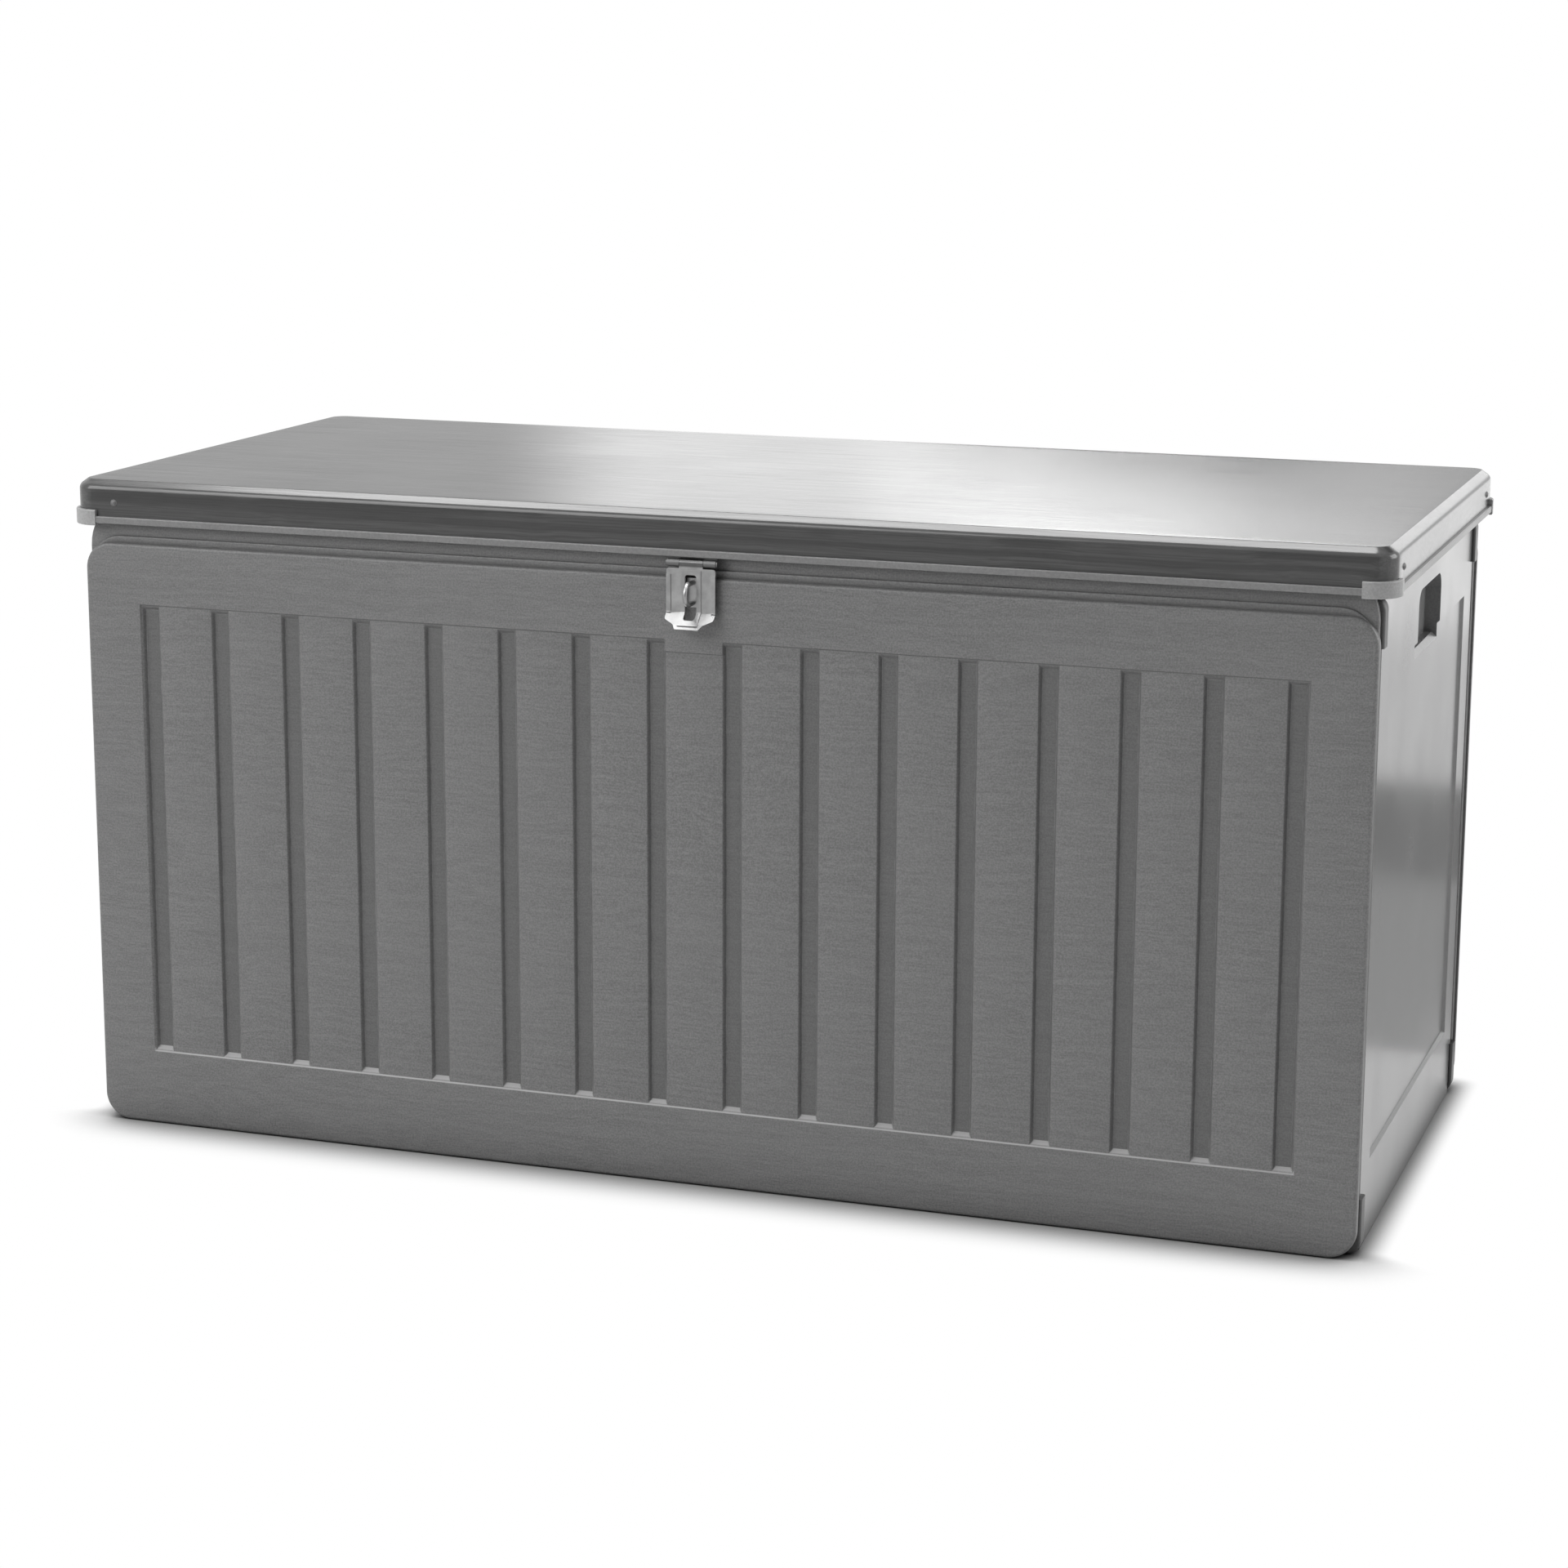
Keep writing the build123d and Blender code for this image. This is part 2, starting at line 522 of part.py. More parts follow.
leg_screws = []
for level in CONNECTOR_LEVELS:
    for end in ENDS.values():
        for side in SIDES.values():
            on_side = facing(
                side * (INNER_X - LEG_THICKNESS), end * LEG_SCREW_Y, leg_middle(level), (-side, 0, 0)
            )
            on_wall = facing(
                side * LEG_SCREW_X, end * (INNER_Y - LEG_THICKNESS), leg_middle(level), (0, -end, 0)
            )
            leg_screws.append(screw(on_side, LEG_THICKNESS))
            leg_screws.append(screw(on_wall, LEG_THICKNESS))
write_group(leg_screws, "connector_screws")

hinge_seats = [facing(x, SKIRT_INNER_Y, z, (0, 1, 0)) for x, z in HINGE_SCREW_HOLES]
write_group([screw(seat, BODY_LEAF) for seat in hinge_seats], "hinge_screws")

HINGE_RIVET_SEATS = [
    facing(x + dx, LID_DEPTH / 2, HINGE_RIVET_Z, (0, 1, 0)) for x in HINGE_PLACES for dx in HINGE_HOLES
]
write_group([rivet(seat, SHEET + LEAF) for seat in HINGE_RIVET_SEATS], "hinge_rivets")

# One rivet closes the fold at each corner of the lid
LID_RIVET_SEATS = [
    facing(RIVET_INSET - LID_WIDTH / 2, -LID_DEPTH / 2, RIVET_Z, (0, -1, 0)),
    facing(LID_WIDTH / 2, RIVET_INSET - LID_DEPTH / 2, RIVET_Z, (1, 0, 0)),
    facing(LID_WIDTH / 2, LID_DEPTH / 2 - RIVET_INSET, RIVET_Z, (1, 0, 0)),
    facing(-LID_WIDTH / 2, LID_DEPTH / 2 - RIVET_INSET, RIVET_Z, (-1, 0, 0)),
]
write_group([rivet(seat, SHEET) for seat in LID_RIVET_SEATS], "lid_rivets")


# Lid


def lid_form(inset, top):
    """The lid's solid outline, drawn in by inset: upright skirt, bevel and flat top."""
    width = LID_WIDTH - 2 * inset
    depth = LID_DEPTH - 2 * inset
    corner = LID_CORNER_R - inset
    crease = top - LID_BEVEL_DROP
    with BuildPart() as form:
        with BuildSketch(Plane.XY.offset(SKIRT_LOW)):
            RectangleRounded(width, depth, corner)
        extrude(amount=crease - SKIRT_LOW)
        with BuildSketch(Plane.XY.offset(crease)):
            RectangleRounded(width, depth, corner)
        with BuildSketch(Plane.XY.offset(top)):
            RectangleRounded(width - 2 * LID_BEVEL, depth - 2 * LID_BEVEL, corner - LID_BEVEL)
        loft()
    return form.part


lid_outside = lid_form(0, LID_TOP)
lid_inside = lid_form(SHEET, SHEET_UNDER)
with BuildPart() as lid_shell:
    add(lid_outside)
    add(lid_inside, mode=Mode.SUBTRACT)
    for seat in LID_RIVET_SEATS + HINGE_RIVET_SEATS:
        with BuildSketch(seat):
            Circle(RIVET_HOLE_R)
        extrude(amount=-2 * SHEET, mode=Mode.SUBTRACT)
write(lid_shell, "lid_shell")


def lid_trim(section, sign, edge, run):
    """An L strip under the hem, with its upright leg outside the skirt."""
    with BuildPart() as trim:
        with BuildSketch(section) as strip:
            with Locations((sign * (edge + TRIM_THICKNESS / 2), TRIM_LOW + TRIM_HEIGHT / 2)):
                Rectangle(TRIM_THICKNESS, TRIM_HEIGHT)
            outer = strip.vertices().sort_by(Axis((0, 0, 0), (sign, 0, 0)))[-2:]
            fillet(outer, TRIM_ROUND)
            with Locations((sign * (edge - SHEET / 2), TRIM_LOW + TRIM_WEB / 2)):
                Rectangle(SHEET, TRIM_WEB)
        extrude(amount=run / 2, both=True)
    return trim


for end_name, end in ENDS.items():
    write(lid_trim(Plane.YZ, end, LID_DEPTH / 2, LID_WIDTH - 2 * CAP_LEG), f"{end_name}_lid_trim")
for side_name, side in SIDES.items():
    write(lid_trim(Plane.XZ, side, LID_WIDTH / 2, LID_DEPTH - 2 * CAP_LEG), f"{side_name}_lid_trim")


def corner_cap(side, end):
    """A cap round a lid corner: a band outside the skirt and a web under the hem."""
    span = CAP_LEG + CAP_THICKNESS
    middle = (
        side * (LID_WIDTH / 2 + CAP_THICKNESS - span / 2),
        end * (LID_DEPTH / 2 + CAP_THICKNESS - span / 2),
    )
    with BuildPart() as cap:
        for reach, height in ((CAP_FIT, CAP_HEIGHT), (-SHEET, SKIRT_LOW - CAP_LOW)):
            with BuildSketch(Plane.XY.offset(CAP_LOW)):
                RectangleRounded(
                    LID_WIDTH + 2 * CAP_THICKNESS,
                    LID_DEPTH + 2 * CAP_THICKNESS,
                    LID_CORNER_R + CAP_THICKNESS,
                )
                RectangleRounded(
                    LID_WIDTH + 2 * reach, LID_DEPTH + 2 * reach, LID_CORNER_R + reach, mode=Mode.SUBTRACT
                )
                with Locations(middle):
                    Rectangle(span, span, mode=Mode.INTERSECT)
            extrude(amount=height)
        rim = cap.faces().sort_by(Axis.Z)[-1].edges() + cap.faces().sort_by(Axis.Z)[0].edges()
        outside = rim.filter_by(GeomType.CIRCLE).sort_by(SortBy.RADIUS)[-2:]
        fillet(outside, CAP_ROUND)
    return cap


for end_name, end in ENDS.items():
    for side_name, side in SIDES.items():
        write(corner_cap(side, end), f"{end_name}_{side_name}_lid_cap")


def lid_rail(section, middle, width, run):
    """A square tube under the sheet that carries the lid on a wall's top."""
    with BuildPart() as rail:
        with BuildSketch(section):
            with Locations((middle, WALL_HEIGHT + RAIL_HEIGHT / 2)):
                Rectangle(width, RAIL_HEIGHT)
                Rectangle(width - 2 * RAIL_WALL, RAIL_HEIGHT - 2 * RAIL_WALL, mode=Mode.SUBTRACT)
        extrude(amount=run / 2, both=True)
    return rail


RAIL_DEPTH = FLANGE_THICKNESS + CORE_THICKNESS
for end_name, end in ENDS.items():
    middle = end * (INNER_Y + RAIL_DEPTH / 2)
    rail = lid_rail(Plane.YZ, middle, RAIL_DEPTH, 2 * (INNER_X + SIDE_RAIL_WIDTH))
    write(rail, f"{end_name}_lid_rail")
for side_name, side in SIDES.items():
    middle = side * (INNER_X + SIDE_RAIL_WIDTH / 2)
    rail = lid_rail(Plane.XZ, middle, SIDE_RAIL_WIDTH, 2 * INNER_Y)
    write(rail, f"{side_name}_lid_rail")

STIFFENER_SPACING = 2 * INNER_X / (len(STIFFENER_NAMES) + 1)
for name, x in zip(STIFFENER_NAMES, spread(len(STIFFENER_NAMES), STIFFENER_SPACING)):
    with BuildPart() as stiffener:
        with BuildSketch(Plane.XZ):
            with Locations((x, SHEET_UNDER - STIFFENER_HEIGHT / 2)):
                Rectangle(STIFFENER_WIDTH, STIFFENER_HEIGHT)
            with Locations((x, SHEET_UNDER - (STIFFENER_HEIGHT - STIFFENER_SHEET) / 2)):
                Rectangle(
                    STIFFENER_WIDTH - 2 * STIFFENER_SHEET,
                    STIFFENER_HEIGHT - STIFFENER_SHEET,
                    mode=Mode.SUBTRACT,
                )
            for foot in spread(2, STIFFENER_WIDTH + STIFFENER_FLANGE):
                with Locations((x + foot, SHEET_UNDER - STIFFENER_SHEET / 2)):
                    Rectangle(STIFFENER_FLANGE, STIFFENER_SHEET)
        extrude(amount=INNER_Y, both=True)
    write(stiffener, name)


# Hinges


def knuckle_leaf(x, plate, thickness, axis, end_z, width, knuckles, holes=(), hole_r=0):
    """A leaf from its far end at end_z to its knuckles about an axis (y, z), bored for the pin."""
    axis_z = axis[1]
    near_z = axis_z + LEAF_CLEAR if end_z > axis_z else axis_z - LEAF_CLEAR
    with BuildPart() as leaf:
        with BuildSketch(plate):
            with Locations((x, (near_z + end_z) / 2)):
                Rectangle(width, abs(end_z - near_z))
            for start, stop in knuckles:
                with Locations((x + (start + stop) / 2, (axis_z + near_z) / 2)):
                    Rectangle(stop - start, LEAF_CLEAR)
            if holes:
                with Locations(*holes):
                    Circle(hole_r, mode=Mode.SUBTRACT)
        extrude(amount=thickness)
        for start, stop in knuckles:
            with BuildSketch(Plane.YZ.offset(x + start)):
                with Locations(axis):
                    Circle(KNUCKLE_R)
            extrude(amount=stop - start)
        with BuildSketch(Plane.YZ.offset(x - width / 2)):
            with Locations(axis):
                Circle(PIN_R + PIN_CLEARANCE)
        extrude(amount=width, mode=Mode.SUBTRACT)
    return leaf


def hinge_pin(x, axis, width):
    """A pin with a head at each end of the knuckles."""
    with BuildPart() as pin:
        with BuildSketch(Plane.YZ.offset(x - width / 2)):
            with Locations(axis):
                Circle(PIN_R)
        extrude(amount=width)
        for end in (-1, 1):
            with BuildSketch(Plane.YZ.offset(x + end * width / 2)):
                with Locations(axis):
                    Circle(PIN_HEAD_R)
            extrude(amount=end * PIN_HEAD)
    return pin


def outer_knuckles(width, middle):
    """Spans of the two knuckles on either side of a middle one."""
    return [(-width / 2, -middle / 2 - KNUCKLE_GAP), (middle / 2 + KNUCKLE_GAP, width / 2)]


HINGE_AXIS = (AXIS_Y, HINGE_Z)
HINGE_PLANE = Plane.XZ.offset(-SKIRT_INNER_Y)
for name, x in zip(HINGE_NAMES, HINGE_PLACES):
    body_leaf = knuckle_leaf(
        x,
        HINGE_PLANE,
        BODY_LEAF,
        HINGE_AXIS,
        BODY_LEAF_LOW,
        HINGE_WIDTH,
        outer_knuckles(HINGE_WIDTH, HINGE_KNUCKLE),
        [(x + dx, HINGE_SCREW_Z) for dx in HINGE_HOLES],
        SCREW_HOLE_R,
    )
    lid_leaf = knuckle_leaf(
        x,
        HINGE_PLANE,
        LEAF,
        HINGE_AXIS,
        LID_LEAF_HIGH,
        HINGE_WIDTH,
        [(-HINGE_KNUCKLE / 2, HINGE_KNUCKLE / 2)],
        [(x + dx, HINGE_RIVET_Z) for dx in HINGE_HOLES],
        RIVET_HOLE_R,
    )
    write(body_leaf, f"{name}_body_leaf")
    write(lid_leaf, f"{name}_lid_leaf")
    write(hinge_pin(x, HINGE_AXIS, HINGE_WIDTH), f"{name}_pin")


# Hasp

HASP_AXIS = (-AXIS_Y, HASP_Z)
hasp_bracket = knuckle_leaf(
    0,
    Plane.XZ.offset(LEAF_INNER_Y),
    LEAF,
    HASP_AXIS,
    LID_LEAF_HIGH,
    BRACKET_WIDTH,
    outer_knuckles(BRACKET_WIDTH, FLAP_KNUCKLE),
)
write(hasp_bracket, "hasp_bracket")
write(hinge_pin(0, HASP_AXIS, BRACKET_WIDTH), "hasp_pin")

FLAP_FRONT = -AXIS_Y - KNUCKLE_R + KNUCKLE_BITE
BEND_Z = STAPLE_Z - STAPLE_HALF - BEND_DROP
LIP_OUT = LIP_LENGTH * sin(radians(LIP_ANGLE))
LIP_DOWN = LIP_LENGTH * cos(radians(LIP_ANGLE))
LIP_LOW = BEND_Z - LIP_DOWN


def bent_sheet(front, back):
    """Side outline of the flap between two depths behind its front: upright, then bent outwards."""
    bend = tan(radians(LIP_ANGLE / 2))
    along = (-sin(radians(LIP_ANGLE)), -cos(radians(LIP_ANGLE)))
    behind = (cos(radians(LIP_ANGLE)), -sin(radians(LIP_ANGLE)))
    tip = [
        (
            FLAP_FRONT + LIP_LENGTH * along[0] + depth * behind[0],
            BEND_Z + LIP_LENGTH * along[1] + depth * behind[1],
        )
        for depth in (front, back)
    ]
    return [
        (FLAP_FRONT + front, HASP_Z),
        (FLAP_FRONT + front, BEND_Z - front * bend),
        tip[0],
        tip[1],
        (FLAP_FRONT + back, BEND_Z - back * bend),
        (FLAP_FRONT + back, HASP_Z),
    ]


FLAP_HALF = FLAP_WIDTH / 2
LIP_HALF = LIP_END_WIDTH / 2
CORNER_Z = BEND_Z - LIP_STRAIGHT
SLOT_WIDTH = 2 * (STAPLE_ROD_R + SLOT_SIDE_CLEARANCE)
SLOT_HIGH = STAPLE_Z + STAPLE_HALF + SLOT_TOP_CLEARANCE
SLOT_LOW = BEND_Z - SLOT_BELOW_BEND
SLOT_HEIGHT = SLOT_HIGH - SLOT_LOW
SLOT_MIDDLE = (SLOT_HIGH + SLOT_LOW) / 2
RIM_MIDDLE = (SLOT_HIGH + BEND_Z) / 2
FLAP_REACH = 2 * (LIP_OUT + FLAP_THICKNESS)
with BuildPart() as flap_rims:
    with BuildSketch(Plane.YZ):
        with BuildLine():
            Polyline(*bent_sheet(-RIM_HEIGHT, FLAP_THICKNESS), close=True)
        make_face()
    extrude(amount=FLAP_HALF, both=True)
    with BuildSketch(FRONT):
        with Locations((0, SLOT_MIDDLE)):
            Rectangle(SLOT_WIDTH + 2 * RIM_WIDTH, SLOT_HEIGHT + 2 * RIM_WIDTH)
        with Locations(*[(x, RIM_MIDDLE) for x in spread(2, FLAP_WIDTH - RIM_WIDTH)]):
            Rectangle(RIM_WIDTH, SLOT_HIGH - BEND_Z)
    extrude(amount=FLAP_REACH, both=True, mode=Mode.INTERSECT)

with BuildPart() as hasp_flap:
    with BuildSketch(Plane.YZ):
        with BuildLine():
            Polyline(*bent_sheet(0, FLAP_THICKNESS), close=True)
        make_face()
    extrude(amount=FLAP_HALF, both=True)
    with BuildSketch(FRONT) as outline:
        with BuildLine():
            Polyline(
                (-FLAP_HALF, HASP_Z - LEAF_CLEAR),
                (-FLAP_HALF, CORNER_Z),
                (-LIP_HALF - LIP_OGEE, CORNER_Z - LIP_OGEE),
                (-LIP_HALF, LIP_LOW - FLAP_THICKNESS),
                (LIP_HALF, LIP_LOW - FLAP_THICKNESS),
                (LIP_HALF + LIP_OGEE, CORNER_Z - LIP_OGEE),
                (FLAP_HALF, CORNER_Z),
                (FLAP_HALF, HASP_Z - LEAF_CLEAR),
                close=True,
            )
        make_face()
        fillet(outline.vertices(), LIP_ROUND)
        with Locations((0, HASP_Z - LEAF_CLEAR)):
            Rectangle(FLAP_KNUCKLE, 2 * LEAF_CLEAR)
    extrude(amount=FLAP_REACH, both=True, mode=Mode.INTERSECT)
    add(flap_rims.part)
    with BuildSketch(Plane.YZ):
        with Locations(HASP_AXIS):
            Circle(KNUCKLE_R)
    extrude(amount=FLAP_KNUCKLE / 2, both=True)
    with BuildSketch(Plane.YZ):
        with Locations(HASP_AXIS):
            Circle(PIN_R + PIN_CLEARANCE)
    extrude(amount=FLAP_WIDTH, both=True, mode=Mode.SUBTRACT)
    with BuildSketch(FRONT):
        with Locations((0, SLOT_MIDDLE)):
            RectangleRounded(SLOT_WIDTH, SLOT_HEIGHT, LIP_ROUND)
    extrude(amount=FLAP_REACH, both=True, mode=Mode.SUBTRACT)
write(hasp_flap, "hasp_flap")

# The staple's rod runs out, round a half circle and back
LOOP_Y = FLAP_FRONT - STAPLE_PROUD + STAPLE_HALF
ROOT_Y = -FACE_Y - STAPLE_BASE / 2
with BuildPart() as staple:
    with BuildSketch(FRONT):
        with Locations((0, STAPLE_Z)):
            RectangleRounded(STAPLE_BASE_WIDTH, STAPLE_BASE_HEIGHT, LIP_ROUND)
        with Locations(*STAPLE_SCREW_HOLES):
            Circle(SCREW_HOLE_R, mode=Mode.SUBTRACT)
    extrude(amount=STAPLE_BASE)
    with BuildLine(Plane.YZ):
        Line((ROOT_Y, STAPLE_Z + LOOP_R), (LOOP_Y, STAPLE_Z + LOOP_R))
        ThreePointArc(
            (LOOP_Y, STAPLE_Z + LOOP_R), (LOOP_Y - LOOP_R, STAPLE_Z), (LOOP_Y, STAPLE_Z - LOOP_R)
        )
        Line((LOOP_Y, STAPLE_Z - LOOP_R), (ROOT_Y, STAPLE_Z - LOOP_R))
    with BuildSketch(Plane.XZ.offset(-ROOT_Y)):
        with Locations((0, STAPLE_Z + LOOP_R)):
            Circle(STAPLE_ROD_R)
    sweep()
write(staple, "staple")

staple_seats = [facing(x, -FACE_Y - STAPLE_BASE, z, (0, -1, 0)) for x, z in STAPLE_SCREW_HOLES]
write_group([screw(seat, STAPLE_BASE) for seat in staple_seats], "staple_screws")
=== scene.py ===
import json
import math

import bmesh
import bpy
import numpy as np
from mathutils import Matrix, Vector


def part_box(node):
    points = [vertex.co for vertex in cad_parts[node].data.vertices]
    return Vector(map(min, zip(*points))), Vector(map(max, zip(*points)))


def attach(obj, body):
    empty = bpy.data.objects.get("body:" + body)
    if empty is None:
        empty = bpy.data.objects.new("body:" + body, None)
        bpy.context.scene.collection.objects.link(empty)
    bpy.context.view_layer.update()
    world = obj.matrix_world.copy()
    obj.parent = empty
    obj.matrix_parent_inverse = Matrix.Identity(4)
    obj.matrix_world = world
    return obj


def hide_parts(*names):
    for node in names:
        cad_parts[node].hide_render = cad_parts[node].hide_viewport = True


# Deck storage box: looks of the moulded walls, the printed sheet lid and the zinc-plated hardware.
# Metres. Z is up, X runs along the box, the front faces -Y.

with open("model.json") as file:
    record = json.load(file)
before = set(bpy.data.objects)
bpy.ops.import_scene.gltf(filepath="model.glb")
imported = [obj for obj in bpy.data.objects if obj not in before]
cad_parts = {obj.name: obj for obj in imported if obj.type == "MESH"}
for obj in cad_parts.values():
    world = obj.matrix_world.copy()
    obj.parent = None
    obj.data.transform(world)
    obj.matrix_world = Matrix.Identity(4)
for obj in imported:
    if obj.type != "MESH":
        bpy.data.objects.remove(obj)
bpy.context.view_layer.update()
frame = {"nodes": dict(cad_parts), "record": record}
nodes = frame["nodes"]

MM = 0.001

# Front and back walls
PLATE_HEIGHT = 555.7 * MM
PLATE_THICKNESS = 8 * MM
PLATE_CORNER = 25 * MM
PLATE_RIM = 3.5 * MM
PLATE_BITE = 1 * MM  # how far the plate sinks into the flange behind it
FLANGE_BACK = 16 * MM
FLANGE_EDGE = 1.5 * MM
FLANGE_CORNER = 45 * MM
FLANGE_SET_IN = 2 * MM
CORE_BACK = 24 * MM
CORE_HALF_WIDTH = 586 * MM
CORE_CORNER = 8 * MM
LEDGE_RISE = 6.3 * MM  # step that shows above the plate's top
LEDGE_THICKNESS = 3 * MM
LEDGE_SET_IN = 3.5 * MM
LEDGE_CORNER = 30 * MM
LEDGE_ROUND = 1.5 * MM
FIELD_SIDE_BORDER = 54.5 * MM
FIELD_LOW = 70.5 * MM
FIELD_HIGH = 500 * MM
FIELD_DEPTH = 1.3 * MM
FIELD_LINES = 16  # lines up the field that carry its slow wave
GROOVE_COUNT = 16
GROOVE_MOUTH = 18 * MM
GROOVE_FLOOR = 12 * MM
GROOVE_DEPTH = 5 * MM
GROOVE_LAND = 0.5 * MM
LATCH_PAD = 11 * MM
EDGE_SOFTNESS = 0.22  # rounding of a moulded step, as a share of its run
WALL_WAVE = 0.25 * MM  # unevenness of a hollow moulding's face
WALL_ARC_STEPS = 12

# Painted shade in the walls' corners and recesses, and painted highlight on their ledges, as shares
SLOPE_PAINTED_SHADE = 0.6  # halfway down a groove's side
GROOVE_FLOOR_PAINTED_SHADE = 0.12
PLATE_BACK_PAINTED_SHADE = 0.6
LEDGE_FOOT_PAINTED_SHADE = 0.8
PAINTED_HIGHLIGHT_SPREAD = 1.5  # above 1, the painted highlight covers more of a ledge than its middle

# Lid sheet
LID_CORNER = 22 * MM
LID_SHEET = 1.2 * MM
LID_BEVEL = 8.5 * MM
LID_BEVEL_DROP = 6 * MM
LID_FOLD = 7 * MM  # radius of the fold between the bevel and the skirt
LID_CREASE = 1.6 * MM  # radius of the crisp crease at the top
LID_WAVE = 0.16 * MM
LID_LINES_ALONG = 97
LID_LINES_ACROSS = 49
LID_ARC_STEPS = 10
LID_TOP_ROWS = 25

MERGE = 1e-6  # points closer than this are one
WALL_SHARP = math.radians(35)  # edges that turn more stay sharp
LID_SHARP = math.radians(30)

# Camera
CAMERA_PLACE = Vector((1.0912, -3.1986, 1.0591))
CAMERA_AZIMUTH = math.radians(18.99)
CAMERA_ELEVATION = math.radians(12.42)
CAMERA_ROLL = math.radians(0.24)
SENSOR = 36.0
FOCAL_PIXELS = 4437.0
IMAGE_PIXELS = 1920.0
CLIP_END = 200.0

# Studio
FLOOR_DROP = 0.4 * MM
FLOOR_HALF = 30.0
FLOOR_GREY = (0.86, 0.86, 0.86, 1)
CONTACT_REACH = 0.1  # how far the walls shade the floor at their foot
CONTACT_POWER = 1.5
SHADE_SIDE = 0.028  # where the floor has run out to white, beyond the box's foot
SHADE_FRONT = 0.08
AMBIENT = 0.62
DIM_SIDE = (0.8, -0.6, 0.0)  # the quarter of the room that gives little light
DIM_SHARE = 0.4

# Rear of the room in reflections: levels, then where each part begins and ends along X and in height
REAR_WALL = 0.68
LEFT_WINDOW = 0.9
RIGHT_WINDOW = 2.8
SILL_SHADE = 0.6  # how much darker the wall is under the right window
LEFT_START = (-1.5, -1.2)
RIGHT_START = (-0.85, -0.5)
RIGHT_END = (0.45, -0.25)
SHADE_END = (0.15, -0.15)
SILL_SLANT = 0.2
SILL_HEIGHT = (1.05, 1.15)
WINDOW_HEAD = (1.7, 1.3)


# Small tools for meshes


def new_piece(name, body, mesh, material, stands_for=()):
    """Links a finished mesh as a piece that rides on a body and takes the record's finish."""
    piece = bpy.data.objects.new(name, mesh)
    bpy.context.scene.collection.objects.link(piece)
    mesh.materials.append(material)
    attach(piece, body)
    if stands_for:
        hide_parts(*stands_for)


def grid_faces(rows, columns, first=0, closed=False):
    """Quads of a grid whose point (row, column) has the number first + row * columns + column.

    closed joins the ends of each row.
    """
    across = columns if closed else columns - 1
    row, column = np.meshgrid(np.arange(rows - 1), np.arange(across), indexing="ij")
    here = first + row * columns + column
    beside = first + row * columns + (column + 1) % columns
    return np.stack([here, beside, beside + columns, here + columns], axis=-1).reshape(-1, 4).tolist()


def shell_faces(points, first, ends):
    """Quads between the closed rows of a shell, and one flat face over each row that ends names."""
    rows, count = points.shape[:2]
    faces = grid_faces(rows, count, first, closed=True)
    for end in ends:
        start = first + end % rows * count
        faces.append(np.arange(start, start + count).tolist())
    return faces


def closed_mesh(name, points, faces, smooth_angle, marks=None):
    """Mesh of closed shells: doubles merged, faces turned outwards, edges past an angle kept sharp.

    marks, where given, are values at each point by name, kept as attributes that the finishes read.
    """
    mesh = bpy.data.meshes.new(name)
    mesh.from_pydata(points.reshape(-1, 3).tolist(), [], faces)
    for label, values in (marks or {}).items():
        mark = mesh.attributes.new(label, "FLOAT", "POINT")
        mark.data.foreach_set("value", values.astype(np.float32))
    shell = bmesh.new()
    shell.from_mesh(mesh)
    bmesh.ops.remove_doubles(shell, verts=shell.verts, dist=MERGE)
    bmesh.ops.dissolve_degenerate(shell, edges=shell.edges, dist=MERGE)
    bmesh.ops.recalc_face_normals(shell, faces=shell.faces)
    shell.to_mesh(mesh)
    shell.free()
    mesh.shade_smooth()
    mesh.set_sharp_from_angle(angle=smooth_angle)
    return mesh


def outline_paths(half_width, half_height, along_width, along_height, arc_steps):
    """Core points and outward normals round a rectangle, anticlockwise from its lower edge.

    At a corner the core point stays and the normal makes a quarter turn. A point of the outline at a reach
    r is core + r * normal: an edge shifted out by r, a corner of radius r.
    """
    turn = np.linspace(0, math.pi / 2, arc_steps)
    cores, normals = [], []
    for quarter in range(4):
        angle = quarter * math.pi / 2
        out = np.array([math.sin(angle), -math.cos(angle)])
        ahead = np.array([math.cos(angle), math.sin(angle)])
        upright = quarter % 2
        run = along_height if upright else along_width
        half_run, half_out = (half_height, half_width) if upright else (half_width, half_height)
        edge = run[:, None] * half_run * ahead + half_out * out
        corner = half_run * ahead + half_out * out
        cores += [edge, np.repeat(corner[None], arc_steps, axis=0)]
        normals += [np.repeat(out[None], len(run), axis=0)]
        normals += [np.cos(turn)[:, None] * out + np.sin(turn)[:, None] * ahead]
    return np.concatenate(cores), np.concatenate(normals)


def carried(profile, core, out):
    """A profile of (reach, level) pairs carried round an outline, row by row.

    Each point lies at core + reach * out, and the second result is its level.
    """
    reach, level = np.array(profile).T[..., None]
    flat = core + reach[..., None] * out
    return flat, np.broadcast_to(level, flat.shape[:2])


def arc_rows(centre, radius, start, stop, steps):
    """Points centre + radius * (cos, sin) of an arc between two angles in degrees."""
    angle = np.radians(np.linspace(start, stop, steps))
    return (np.array(centre) + radius * np.column_stack([np.cos(angle), np.sin(angle)])).tolist()


def soft_ramp(share, softness):
    """Climb from 0 to 1 as share does, with a parabola of half-length softness in place of each corner."""
    low = (share + softness) ** 2 / (4 * softness)
    high = 1 - (1 + softness - share) ** 2 / (4 * softness)
    middle = np.where(share < softness, low, np.where(share > 1 - softness, high, share))
    return np.where(share <= -softness, 0, np.where(share >= 1 + softness, 1, middle))


def slope_share(ramp):
    """1 halfway up a soft step, 0 at its foot and its top: 4 * ramp * (1 - ramp)."""
    return 4 * ramp * (1 - ramp)


